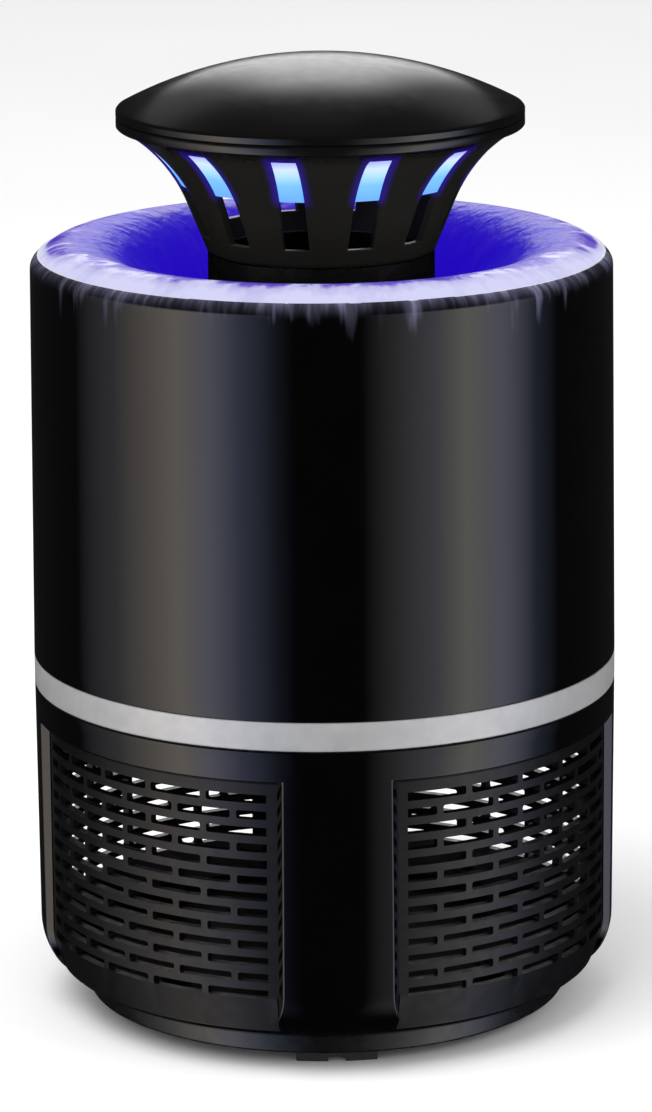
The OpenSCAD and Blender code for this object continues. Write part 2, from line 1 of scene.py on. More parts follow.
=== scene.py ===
import json
import math
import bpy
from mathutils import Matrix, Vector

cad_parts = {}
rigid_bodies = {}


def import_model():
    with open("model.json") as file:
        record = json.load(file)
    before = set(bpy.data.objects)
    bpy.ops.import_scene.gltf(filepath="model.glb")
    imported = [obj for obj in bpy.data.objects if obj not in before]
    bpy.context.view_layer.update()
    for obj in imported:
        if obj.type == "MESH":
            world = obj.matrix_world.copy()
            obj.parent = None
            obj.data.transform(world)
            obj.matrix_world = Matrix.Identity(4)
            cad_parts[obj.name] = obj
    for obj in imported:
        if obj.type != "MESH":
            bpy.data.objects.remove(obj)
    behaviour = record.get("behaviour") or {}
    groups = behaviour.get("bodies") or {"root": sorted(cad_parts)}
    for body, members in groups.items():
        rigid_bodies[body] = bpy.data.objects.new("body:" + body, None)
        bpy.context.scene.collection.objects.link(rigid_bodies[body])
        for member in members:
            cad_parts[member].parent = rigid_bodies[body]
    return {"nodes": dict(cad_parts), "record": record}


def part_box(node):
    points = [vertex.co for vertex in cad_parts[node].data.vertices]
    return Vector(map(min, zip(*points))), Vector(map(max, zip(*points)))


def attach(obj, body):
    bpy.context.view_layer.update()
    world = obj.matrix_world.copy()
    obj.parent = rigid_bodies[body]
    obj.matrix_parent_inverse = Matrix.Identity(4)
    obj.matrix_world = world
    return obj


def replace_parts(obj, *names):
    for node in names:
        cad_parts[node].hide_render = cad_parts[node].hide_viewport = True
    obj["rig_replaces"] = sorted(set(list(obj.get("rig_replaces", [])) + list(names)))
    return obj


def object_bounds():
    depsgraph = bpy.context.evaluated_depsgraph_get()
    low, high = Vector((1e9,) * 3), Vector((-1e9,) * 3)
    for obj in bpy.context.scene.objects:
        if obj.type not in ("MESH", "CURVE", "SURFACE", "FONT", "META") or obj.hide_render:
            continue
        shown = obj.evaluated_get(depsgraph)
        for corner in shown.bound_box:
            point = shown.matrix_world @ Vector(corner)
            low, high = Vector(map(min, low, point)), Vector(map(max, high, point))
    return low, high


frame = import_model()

from types import SimpleNamespace

import bmesh
import bpy
from bpy.props import FloatProperty, FloatVectorProperty, IntProperty
from mathutils import Matrix, Vector

bl_info = {
    "name": "Suction Insect Trap",
    "version": (1, 0, 0),
    "blender": (4, 5, 0),
    "location": "View3D > Sidebar > Insect Trap",
    "description": "Builds the visible pieces, finishes and studio of a lamp-and-fan insect trap",
    "category": "Object",
}

MM = 0.001
CAD_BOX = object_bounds()
QUARTERS = (0, 90, 180, 270)


# ---- where things are: every function below works in millimetres ----

def top(node):
    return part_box(node)[1].z / MM


def bottom(node):
    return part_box(node)[0].z / MM


def reach(node):
    """The radius of a turned node about the trap's axis."""
    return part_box(node)[1].x / MM


def in_mm(group):
    """A property group's values, with its lengths in millimetres."""
    lengths = {p.identifier for p in group.bl_rna.properties if getattr(p, "unit", "") == "LENGTH"}
    names = [p.identifier for p in group.bl_rna.properties if p.identifier not in ("name", "rna_type")]
    return SimpleNamespace(**{
        n: getattr(group, n) / MM if n in lengths else getattr(group, n) for n in names})


# ---- properties ----

class TrapBody(bpy.types.PropertyGroup):
    """Sizes of the collector and the upper housing"""
    wall: FloatProperty(
        name="Wall", description="Thickness of the walls", default=0.002, unit="LENGTH")
    draft: FloatProperty(
        name="Draft", description="How much the housing narrows towards its top",
        default=0.0008, unit="LENGTH")
    shoulder: FloatProperty(
        name="Shoulder", description="Radius of the housing's top edge", default=0.003, unit="LENGTH")
    corner: FloatProperty(
        name="Corner", description="Radius of the collector's bottom edge",
        default=0.013, unit="LENGTH")
    edge: FloatProperty(
        name="Edge", description="Rounding of the moulded edges", default=0.0004, unit="LENGTH")
    pillar_turn: FloatProperty(
        name="Pillar turn", description="Angle of the front pillar away from the front",
        default=math.radians(2.3), subtype="ANGLE", unit="ROTATION")
    window_half: FloatProperty(
        name="Window half angle", description="Half the angle of a window at its floor",
        default=math.radians(32.9), subtype="ANGLE", unit="ROTATION")
    window_top: FloatProperty(
        name="Window top", description="Height of a window's top edge above the floor",
        default=0.066, unit="LENGTH")
    ledge: FloatProperty(
        name="Ledge", description="Height of a window's bottom edge above the floor",
        default=0.0099, unit="LENGTH")
    recess: FloatProperty(
        name="Recess", description="Depth of a mesh insert behind the wall",
        default=0.002, unit="LENGTH")
    lean: FloatProperty(
        name="Lean", description="How much the collector widens towards its top",
        default=0.0003, unit="LENGTH")
    corner_sink: FloatProperty(
        name="Corner sink", description="How far the corner's circle reaches under the floor",
        default=0.0005, unit="LENGTH")
    screw_ring: FloatProperty(
        name="Screw ring", description="Radius of the circle of screws under the collector",
        default=0.049, unit="LENGTH")
    crest_inset: FloatProperty(
        name="Crest inset", description="Distance from the bell mouth's edge in to its crest",
        default=0.0065, unit="LENGTH")


class TrapMesh(bpy.types.PropertyGroup):
    """Sizes of the slotted mesh inserts"""
    rows: IntProperty(name="Rows", description="Rows of slots", default=13, min=2)
    row_pitch: FloatProperty(
        name="Row pitch", description="Distance between two rows", default=0.00365, unit="LENGTH")
    slot_height: FloatProperty(
        name="Slot height", description="Height of one slot", default=0.0019, unit="LENGTH")
    slot_pitch: FloatProperty(
        name="Slot pitch", description="Angle from one slot to the next",
        default=math.radians(12.7), subtype="ANGLE", unit="ROTATION")
    bar: FloatProperty(
        name="Bar", description="Width of the bar between two slots",
        default=0.00145, unit="LENGTH")
    shift: FloatProperty(
        name="Bar shift", description="Angle that the inner bars are moved sideways",
        default=math.radians(1.1), subtype="ANGLE", unit="ROTATION")
    slot_corner: FloatProperty(
        name="Slot corner", description="Radius of a slot's corners",
        default=0.0005, unit="LENGTH")
    thickness: FloatProperty(
        name="Thickness", description="Thickness of an insert", default=0.0018, unit="LENGTH")


class TrapHead(bpy.types.PropertyGroup):
    """Sizes of the lamp head"""
    neck_radius: FloatProperty(
        name="Neck radius", description="Radius of the neck at its seam",
        default=0.025, unit="LENGTH")
    seam: FloatProperty(
        name="Neck seam", description="Height of the seam under the neck",
        default=0.1707, unit="LENGTH")
    flare_radius: FloatProperty(
        name="Flare radius", description="Radius of the flare's curve", default=0.0345, unit="LENGTH")
    flare_out: FloatProperty(
        name="Flare out", description="Distance of the flare's centre from the axis",
        default=0.0615, unit="LENGTH")
    flare_height: FloatProperty(
        name="Flare height", description="Height of the flare's centre", default=0.1688, unit="LENGTH")
    cone_top: FloatProperty(
        name="Cone top", description="Height at which the neck's cone becomes the flare",
        default=0.1816, unit="LENGTH")
    wall: FloatProperty(
        name="Wall", description="Thickness of the neck's wall", default=0.0018, unit="LENGTH")
    rim_bottom: FloatProperty(
        name="Rim bottom", description="Height of the rim's lower edge",
        default=0.1982, unit="LENGTH")
    openings: IntProperty(
        name="Openings", description="Openings round the neck", default=12, min=4)
    opening_bottom: FloatProperty(
        name="Opening bottom", description="Height of an opening's lower edge",
        default=0.175, unit="LENGTH")
    opening_top: FloatProperty(
        name="Opening top", description="Height of an opening's upper edge",
        default=0.1964, unit="LENGTH")
    opening_width: FloatProperty(
        name="Opening width", description="Width of one opening", default=0.0056, unit="LENGTH")
    opening_turn: FloatProperty(
        name="Opening turn", description="Angle of the first opening away from the front",
        default=math.radians(18.5), subtype="ANGLE", unit="ROTATION")


class TrapColours(bpy.types.PropertyGroup):
    """Colours of the plastics, the metal and the light"""
    gloss_black: FloatVectorProperty(
        name="Gloss black", description="Polished body plastic", subtype="COLOR",
        size=4, default=(0.0009, 0.0009, 0.0011, 1))
    satin_black: FloatVectorProperty(
        name="Satin black", description="Plastic of the lamp head's rim and lid",
        subtype="COLOR", size=4, default=(0.0032, 0.0032, 0.003, 1))
    neck_black: FloatVectorProperty(
        name="Neck black", description="Duller plastic of the lamp head's neck", subtype="COLOR",
        size=4, default=(0.022, 0.021, 0.018, 1))
    metal: FloatVectorProperty(
        name="Ring metal", description="Satin metal of the trim ring", subtype="COLOR",
        size=4, default=(0.40, 0.40, 0.405, 1))
    # Painted light: the throat, slope and rim light are painted on the bell mouth as glow, and the rim
    # light also as streaks on the housing.
    throat_light: FloatVectorProperty(
        name="Throat light", description="Light deep in the bell mouth", subtype="COLOR",
        size=4, default=(0.014, 0.001, 0.50, 1))
    slope_light: FloatVectorProperty(
        name="Slope light", description="Light on the bell mouth's inner slope", subtype="COLOR",
        size=4, default=(0.075, 0.04, 0.44, 1))
    rim_light: FloatVectorProperty(
        name="Rim light", description="Light on the bell mouth's outer lip", subtype="COLOR",
        size=4, default=(0.50, 0.49, 0.79, 1))
    lamp_light: FloatVectorProperty(
        name="Lamp light", description="Light behind the head's openings", subtype="COLOR",
        size=4, default=(0.11, 0.40, 0.86, 1))


class TrapStudio(bpy.types.PropertyGroup):
    """The camera and the light of the studio"""
    eye: FloatVectorProperty(
        name="Eye", description="Place of the camera", default=(0.0005, -1.100, 0.3708),
        unit="LENGTH")
    tilt: FloatProperty(
        name="Tilt", description="How far the camera looks down", default=math.radians(13.78),
        subtype="ANGLE", unit="ROTATION")
    roll: FloatProperty(
        name="Roll", description="How far the camera leans", default=math.radians(-0.45),
        subtype="ANGLE", unit="ROTATION")
    lens: FloatProperty(name="Lens", description="Focal length in millimetres", default=164.1)
    fill: FloatProperty(name="Fill", description="Brightness of the pale surroundings", default=0.84)


# ---- outlines ----

def arc(centre, radius, start, end, steps):
    """(radius, height) points on an arc; angles in degrees from the outward direction."""
    angles = [math.radians(start + (end - start) * k / steps) for k in range(steps + 1)]
    return [(centre[0] + radius * math.cos(a), centre[1] + radius * math.sin(a)) for a in angles]


def rounded(corners, steps=4):
    """A closed outline from (radius, height) or (radius, height, rounding) corners."""
    outline = []
    for index, corner in enumerate(corners):
        here = Vector(corner[:2])
        if len(corner) < 3:
            outline.append(tuple(here))
            continue
        back = (Vector(corners[index - 1][:2]) - here).normalized()
        ahead = (Vector(corners[(index + 1) % len(corners)][:2]) - here).normalized()
        half = back.angle(ahead) / 2
        centre = here + (back + ahead).normalized() * corner[2] / math.sin(half)
        first = here + back * corner[2] / math.tan(half) - centre
        last = here + ahead * corner[2] / math.tan(half) - centre
        start = math.degrees(math.atan2(first.y, first.x))
        sweep = (math.degrees(math.atan2(last.y, last.x)) - start + 180) % 360 - 180
        outline += arc(centre, corner[2], start, start + sweep, steps)
    return outline


def at(radius, turn, height):
    """A vertex at a radius and an angle in degrees from the front, in metres."""
    a = math.radians(turn)
    return radius * math.sin(a) * MM, -radius * math.cos(a) * MM, height * MM


# ---- meshes ----

def solid(name, vertices, faces, sharp=32):
    """A closed mesh with outward faces, smooth except along edges sharper than an angle."""
    mesh = bpy.data.meshes.new(name)
    mesh.from_pydata(vertices, [], faces)
    shape = bmesh.new()
    shape.from_mesh(mesh)
    bmesh.ops.remove_doubles(shape, verts=shape.verts, dist=1e-7)
    bmesh.ops.dissolve_degenerate(shape, edges=shape.edges, dist=1e-7)
    bmesh.ops.recalc_face_normals(shape, faces=shape.faces)
    shape.to_mesh(mesh)
    shape.free()
    return place(name, mesh, sharp)


def place(name, mesh, sharp=32):
    mesh.shade_smooth()
    mesh.set_sharp_from_angle(angle=math.radians(sharp))
    piece = bpy.data.objects.new(name, mesh)
    bpy.context.scene.collection.objects.link(piece)
    return piece


def lathe(name, outline, segments=192, sharp=32):
    """Turns a closed outline about the trap's axis."""
    count = len(outline)
    vertices = [at(r, 360 * s / segments, z) for s in range(segments) for r, z in outline]
    faces = [
        (s * count + i, s * count + j, (s + 1) % segments * count + j, (s + 1) % segments * count + i)
        for s in range(segments) for i, j in zip(range(count), [*range(1, count), 0])]
    return solid(name, vertices, faces, sharp)


def pierced(name, outer, inner, columns, is_open, turn):
    """A turned wall between two rows of (radius, height) points, with openings.
    is_open(row, column) says which cells are open and turn(row, column, skin) where a column is."""
    rows = len(outer)

    def vertex(skin, row, column):
        return (skin * rows + row) * columns + column % columns

    vertices = [
        at(skin_rows[row][0], turn(row, column, skin), skin_rows[row][1])
        for skin, skin_rows in enumerate((outer, inner))
        for row in range(rows) for column in range(columns)]
    faces = []
    for row in range(rows - 1):
        for column in range(columns):
            if is_open(row, column):
                continue
            corners = [(row, column), (row, column + 1), (row + 1, column + 1), (row + 1, column)]
            for skin in (0, 1):
                faces.append([vertex(skin, *c) for c in corners])
            beyond = [(row - 1, column), (row, column + 1), (row + 1, column), (row, column - 1)]
            for side, (r, c) in enumerate(beyond):
                end = r < 0 or r > rows - 2
                if end or is_open(r, c % columns):
                    a, b = corners[side], corners[(side + 1) % 4]
                    faces.append([vertex(0, *a), vertex(0, *b), vertex(1, *b), vertex(1, *a)])
    return solid(name, vertices, faces)


def bevel(piece, width, segments=2, angle=38):
    """Rounds the piece's sharp edges, which gives them their highlights."""
    piece.data.shade_smooth()
    for edge in piece.data.edges:
        edge.use_edge_sharp = False
    edges = piece.modifiers.new("Edges", "BEVEL")
    edges.width = width * MM
    edges.segments = segments
    edges.limit_method = "ANGLE"
    edges.angle_limit = math.radians(angle)
    edges.harden_normals = True


def baked(piece, sharp=32):
    """Turns the piece's modifiers into plain mesh."""
    depsgraph = bpy.context.evaluated_depsgraph_get()
    mesh = bpy.data.meshes.new_from_object(piece.evaluated_get(depsgraph), depsgraph=depsgraph)
    mesh.name = piece.name
    piece.modifiers.clear()
    piece.data = mesh
    mesh.shade_smooth()
    mesh.set_sharp_from_angle(angle=math.radians(sharp))
    return piece


def cut(piece, *tools):
    """Takes the tools' shapes out of the piece."""
    for tool in tools:
        step = piece.modifiers.new("Cut", "BOOLEAN")
        step.operation = "DIFFERENCE"
        step.solver = "EXACT"
        step.object = tool
    baked(piece)
    for tool in tools:
        bpy.data.objects.remove(tool)


def rear_plug(name, radius, height, start, end, segments=64):
    """A cylinder that points to the rear, to cut a round hole with."""
    ring = [(radius * math.cos(math.tau * k / segments), radius * math.sin(math.tau * k / segments))
            for k in range(segments)]
    vertices = [(x * MM, y * MM, (height + z) * MM) for y in (start, end) for x, z in ring]
    walls = [(k, (k + 1) % segments, segments + (k + 1) % segments, segments + k)
             for k in range(segments)]
    ends = [list(range(segments)), list(range(segments, 2 * segments))]
    return solid(name, vertices, walls + ends)


def aimed_back(piece, height):
    """Turns a lathed piece so that its axis points to the rear, at a height."""
    piece.data.transform(Matrix.Translation((0, 0, height * MM)) @ Matrix.Rotation(-math.pi / 2, 4, "X"))


def joined(name, pieces):
    """One object with the shapes of all the pieces."""
    shape = bmesh.new()
    for piece in pieces:
        shape.from_mesh(piece.data)
    mesh = bpy.data.meshes.new(name)
    shape.to_mesh(mesh)
    shape.free()
    for piece in pieces:
        bpy.data.objects.remove(piece)
    return place(name, mesh)


# ---- node trees ----

def add(tree, kind, inputs=None, **settings):
    """One node. inputs pairs an input's name or number with a value or another node's output."""
    node = tree.nodes.new(kind)
    for key, value in settings.items():
        setattr(node, key, value)
    for key, value in (inputs or {}).items():
        if isinstance(value, bpy.types.NodeSocket):
            tree.links.new(value, node.inputs[key])
        else:
            node.inputs[key].default_value = value
    return node


def calc(tree, operation, *values):
    """The result of one Math node."""
    return add(tree, "ShaderNodeMath", dict(enumerate(values)), operation=operation).outputs[0]


def new_tree(name, sockets):
    """A geometry tree with a Geometry input and the named inputs, and its two end nodes."""
    tree = bpy.data.node_groups.new(name, "GeometryNodeTree")
    tree.interface.new_socket("Geometry", in_out="INPUT", socket_type="NodeSocketGeometry")
    tree.interface.new_socket("Geometry", in_out="OUTPUT", socket_type="NodeSocketGeometry")
    for label, kind in sockets.items():
        tree.interface.new_socket(label, in_out="INPUT", socket_type="NodeSocket" + kind)
    return tree, tree.nodes.new("NodeGroupInput"), tree.nodes.new("NodeGroupOutput")


def grown(piece, tree, values, sharp=32):
    """Runs a geometry tree on the piece with these inputs, and leaves a plain mesh."""
    step = piece.modifiers.new(tree.name, "NODES")
    step.node_group = tree
    sockets = {s.name: s.identifier for s in tree.interface.items_tree if s.in_out == "INPUT"}
    for label, value in values.items():
        step[sockets[label]] = value
    return baked(piece, sharp)


def copies_tree():
    """Repeats an item on every point, turned by the point's own angles."""
    tree, given, result = new_tree(
        "Placed Copies", {"Item": "Object", "Material": "Material"})
    item = add(tree, "GeometryNodeObjectInfo", {"Object": given.outputs["Item"], "As Instance": True})
    turned = add(tree, "GeometryNodeInputNamedAttribute", {"Name": "turned"}, data_type="FLOAT_VECTOR")
    rotation = add(tree, "FunctionNodeEulerToRotation", {0: turned.outputs[0]})
    placed = add(tree, "GeometryNodeInstanceOnPoints", {
        "Points": given.outputs["Geometry"], "Instance": item.outputs["Geometry"],
        "Rotation": rotation.outputs[0]})
    whole = add(tree, "GeometryNodeRealizeInstances", {0: placed.outputs[0]})
    finished = add(tree, "GeometryNodeSetMaterial", {
        "Geometry": whole.outputs[0], "Material": given.outputs["Material"]})
    tree.links.new(finished.outputs[0], result.inputs[0])
    return tree


def copies(name, item, places, material):
    """The item at each (position in mm, turns in degrees). The item itself goes."""
    mesh = bpy.data.meshes.new(name)
    mesh.from_pydata([Vector(p) * MM for p, _ in places], [], [])
    turned = mesh.attributes.new("turned", "FLOAT_VECTOR", "POINT")
    for point, (_, turns) in zip(turned.data, places):
        point.vector = [math.radians(t) for t in turns]
    piece = place(name, mesh)
    tree = bpy.data.node_groups.get("Placed Copies") or copies_tree()
    grown(piece, tree, {"Item": item, "Material": material})
    bpy.data.objects.remove(item)
    return piece


def ring_of(radius, height, turns, tilt=0):
    """Places on a circle, each facing outwards."""
    return [(tuple(v / MM for v in at(radius, t, height)), (tilt, 0, t)) for t in turns]


def mesh_tree():
    """A slotted plate, laid out flat and then bent round the trap's axis."""
    tree, given, result = new_tree("Slotted Plate", {
        "Rows": "Int", "Row Pitch": "Float", "Top Row": "Float", "Slot Pitch": "Float",
        "Slot Height": "Float", "Slot Corner": "Float", "Bar": "Float", "Shift": "Float",
        "Half Width": "Float", "Foot Half Width": "Float", "Foot Height": "Float",
        "Top": "Float", "Bottom": "Float", "Slope Top": "Float", "Slope Depth": "Float",
        "Radius": "Float", "Thickness": "Float", "Turn": "Float", "Material": "Material"})
    size = given.outputs

    def axes(vector):
        return add(tree, "ShaderNodeSeparateXYZ", {0: vector}).outputs

    def at_point(x, y, z=0.0):
        return add(tree, "ShaderNodeCombineXYZ", {0: x, 1: y, 2: z}).outputs[0]

    def move(geometry, position):
        return add(tree, "GeometryNodeSetPosition", {
            "Geometry": geometry, "Position": position}).outputs[0]

    here = tree.nodes.new("GeometryNodeInputPosition").outputs[0]
    field = calc(tree, "MULTIPLY", size["Slot Pitch"], 2.5)
    limit = calc(tree, "SUBTRACT", field, calc(tree, "MULTIPLY", size["Bar"], 0.5))

    # one point at the middle of each slot; every other row is half a slot over
    tall = calc(tree, "MULTIPLY", calc(tree, "SUBTRACT", size["Rows"], 1), size["Row Pitch"])
    grid = add(tree, "GeometryNodeMeshGrid", {
        "Size X": calc(tree, "MULTIPLY", size["Slot Pitch"], 6), "Size Y": tall,
        "Vertices X": 7, "Vertices Y": size["Rows"]})
    x, y, _ = axes(here)
    row = calc(tree, "ROUND", calc(tree, "DIVIDE", calc(
        tree, "SUBTRACT", calc(tree, "MULTIPLY", tall, 0.5), y), size["Row Pitch"]))
    odd = calc(tree, "MODULO", row, 2)
    over = calc(tree, "MULTIPLY", calc(tree, "MULTIPLY", odd, size["Slot Pitch"]), 0.5)
    slot_x = calc(tree, "SUBTRACT", calc(tree, "ADD", x, size["Shift"]), over)
    slot_y = calc(tree, "SUBTRACT", size["Top Row"], calc(tree, "MULTIPLY", row, size["Row Pitch"]))
    middles = move(grid.outputs["Mesh"], at_point(slot_x, slot_y))

    # a slot with rounded corners, kept where it reaches into the field
    slot = add(tree, "GeometryNodeCurvePrimitiveQuadrilateral", {
        "Width": calc(tree, "SUBTRACT", size["Slot Pitch"], size["Bar"]),
        "Height": size["Slot Height"]})
    soft = add(tree, "GeometryNodeFilletCurve", {
        "Curve": slot.outputs[0], "Radius": size["Slot Corner"], "Count": 3}, mode="POLY")
    fine = add(tree, "GeometryNodeSubdivideCurve", {0: soft.outputs[0], 1: 3})
    keep = calc(tree, "LESS_THAN", calc(tree, "ABSOLUTE", axes(here)[0]),
                calc(tree, "MULTIPLY", field, 1.07))
    placed = add(tree, "GeometryNodeInstanceOnPoints", {
        "Points": middles, "Instance": fine.outputs[0], "Selection": keep})
    loose = add(tree, "GeometryNodeRealizeInstances", {0: placed.outputs[0]}).outputs[0]
    x, y, _ = axes(here)
    inside = calc(tree, "LESS_THAN", calc(tree, "ABSOLUTE", x), calc(tree, "MULTIPLY", limit, 0.95))
    edge = calc(tree, "MULTIPLY", calc(tree, "SIGN", x), limit)
    snapped = calc(tree, "ADD", calc(tree, "MULTIPLY", x, inside), calc(
        tree, "MULTIPLY", edge, calc(tree, "SUBTRACT", 1, inside)))
    slots = move(loose, at_point(snapped, y))

    # the plate's own outline
    height = calc(tree, "SUBTRACT", size["Top"], size["Bottom"])
    frame_line = add(tree, "GeometryNodeCurvePrimitiveQuadrilateral", {
        "Width": calc(tree, "MULTIPLY", size["Half Width"], 2), "Height": height})
    x, y, _ = axes(here)
    middle = calc(tree, "MULTIPLY", calc(tree, "ADD", size["Top"], size["Bottom"]), 0.5)
    dense = add(tree, "GeometryNodeSubdivideCurve", {0: frame_line.outputs[0], 1: 40})
    outline = move(dense.outputs[0], at_point(x, calc(tree, "ADD", y, middle)))
    lines = add(tree, "GeometryNodeJoinGeometry")
    tree.links.new(slots, lines.inputs[0])
    tree.links.new(outline, lines.inputs[0])
    flat = add(tree, "GeometryNodeFillCurve", {0: lines.outputs[0]}).outputs[0]

    # thickness, as a closed plate
    raised = add(tree, "GeometryNodeExtrudeMesh", {
        "Mesh": flat, "Offset": at_point(0.0, 0.0, 1.0), "Offset Scale": size["Thickness"],
        "Individual": False})
    back = add(tree, "GeometryNodeFlipFaces", {0: flat})
    both = add(tree, "GeometryNodeJoinGeometry")
    tree.links.new(raised.outputs[0], both.inputs[0])
    tree.links.new(back.outputs[0], both.inputs[0])
    closed = add(tree, "GeometryNodeMergeByDistance", {
        "Geometry": both.outputs[0], "Distance": 1e-6}).outputs[0]

    # bent round the axis, narrower and leaning inwards at its foot
    x, y, z = axes(here)
    low = calc(tree, "LESS_THAN", y, size["Foot Height"])
    spare = calc(tree, "SUBTRACT", size["Half Width"], size["Foot Half Width"])
    most = calc(tree, "SUBTRACT", size["Half Width"], calc(tree, "MULTIPLY", low, spare))
    x = calc(tree, "MAXIMUM", calc(tree, "MINIMUM", x, most), calc(tree, "MULTIPLY", most, -1))
    below = calc(tree, "MAXIMUM", calc(tree, "SUBTRACT", size["Slope Top"], y), 0)
    run = calc(tree, "SUBTRACT", size["Slope Top"], size["Bottom"])
    lean = calc(tree, "MULTIPLY", calc(tree, "DIVIDE", below, run), size["Slope Depth"])
    depth = calc(tree, "SUBTRACT", size["Thickness"], z)
    radius = calc(tree, "SUBTRACT", calc(tree, "SUBTRACT", size["Radius"], depth), lean)
    angle = calc(tree, "ADD", calc(tree, "DIVIDE", x, size["Radius"]), size["Turn"])
    bent = move(closed, at_point(
        calc(tree, "MULTIPLY", radius, calc(tree, "SINE", angle)),
        calc(tree, "MULTIPLY", calc(tree, "MULTIPLY", radius, calc(tree, "COSINE", angle)), -1), y))
    whole = add(tree, "GeometryNodeRealizeInstances", {0: bent})
    finished = add(tree, "GeometryNodeSetMaterial", {
        "Geometry": whole.outputs[0], "Material": size["Material"]})
    tree.links.new(finished.outputs[0], result.inputs[0])
    return tree


# ---- finishes ----

class Finish:
    """A material, with short calls for the patterns that drive it."""

    def __init__(self, name, settings):
        self.material = bpy.data.materials.new(name)
        self.material.use_nodes = True
        self.tree = self.material.node_tree
        self.shader = next(n for n in self.tree.nodes if n.type == "BSDF_PRINCIPLED")
        for label, value in settings.items():
            self.shader.inputs[label].default_value = value
        self.place = self.tree.nodes.new("ShaderNodeTexCoord").outputs["Object"]
        self.x, self.y, self.z = add(self.tree, "ShaderNodeSeparateXYZ", {0: self.place}).outputs
        self.polish = None

    def calc(self, operation, *values):
        return calc(self.tree, operation, *values)

    def radius(self):
        """Distance from the trap's axis, in metres."""
        return self.calc("SQRT", self.calc("ADD", self.calc("MULTIPLY", self.x, self.x),
                                           self.calc("MULTIPLY", self.y, self.y)))

    def turn(self):
        """Angle from the front, in radians."""
        return self.calc("ARCTAN2", self.x, self.calc("MULTIPLY", self.y, -1))

    def noise(self, scale, stretch=(1, 1, 1), detail=3, place=None):
        """A noise value from 0 to 1, finer along an axis with a larger stretch."""
        where = add(self.tree, "ShaderNodeMapping", {
            "Vector": place or self.place, "Scale": stretch})
        return add(self.tree, "ShaderNodeTexNoise", {
            "Vector": where.outputs[0], "Scale": scale, "Detail": detail}).outputs[0]

    def span(self, value, low, high, to_low=0.0, to_high=1.0, kind="SMOOTHSTEP"):
        """The value mapped from one range to another, and held at its ends."""
        return add(self.tree, "ShaderNodeMapRange", {
            "Value": value, "From Min": low, "From Max": high, "To Min": to_low, "To Max": to_high},
            interpolation_type=kind).outputs[0]

    def ramp(self, value, stops, kind="LINEAR"):
        """A colour from (position, colour) stops."""
        node = add(self.tree, "ShaderNodeValToRGB", {0: value})
        node.color_ramp.interpolation = kind
        colours = node.color_ramp.elements
        while len(colours) < len(stops):
            colours.new(0.5)
        for element, (position, colour) in zip(colours, stops):
            element.position = position
            element.color = (*colour[:3], 1)
        return node.outputs[0]

    def blend(self, amount, first, second, kind="MIX"):
        node = add(self.tree, "ShaderNodeMix", data_type="RGBA", blend_type=kind)
        for socket, value in zip((node.inputs[0], node.inputs[6], node.inputs[7]),
                                 (amount, first, second)):
            if isinstance(value, bpy.types.NodeSocket):
                self.tree.links.new(value, socket)
            else:
                socket.default_value = value
        return node.outputs[2]

    def drive(self, label, value):
        self.tree.links.new(value, self.shader.inputs[label])

    def relief(self, height, distance, strength=1.0):
        """Fine relief from a height value; distance is in metres."""
        self.drive("Normal", add(self.tree, "ShaderNodeBump", {
            "Height": height, "Distance": distance, "Strength": strength}).outputs[0])

    def mottle(self, colour, amount=0.12, scale=90):
        """The base colour, a little lighter and darker from place to place."""
        darker = tuple(c * (1 - amount) for c in colour[:3])
        lighter = tuple(min(1, c * (1 + amount)) for c in colour[:3])
        self.drive("Base Color", self.ramp(self.noise(scale), [(0.3, darker), (0.7, lighter)]))


def plastic(name, colour, smooth, rough, grain=0.000004, grain_scale=2600, specular=0.5):
    """Moulded plastic, its roughness between two values and its surface finely grained.
    polish keeps the roughness for a finish that changes it; colour None leaves the colour to it."""
    finish = Finish(name, {"Specular IOR Level": specular, "IOR": 1.5})
    if colour is not None:
        finish.mottle(colour)
    finish.polish = finish.span(finish.noise(320), 0.3, 0.7, smooth, rough)
    finish.drive("Roughness", finish.polish)
    finish.relief(finish.noise(grain_scale), grain)
    return finish


def metal(name, colour, smooth, rough, stretch=(1, 1, 1), scale=900, amount=1.0):
    finish = Finish(name, {"Metallic": amount})
    finish.mottle(colour, 0.06, 300)
    finish.drive("Roughness", finish.span(finish.noise(scale, stretch), 0.3, 0.7, smooth, rough))
    finish.relief(finish.noise(scale * 2, stretch), 0.000006)
    return finish


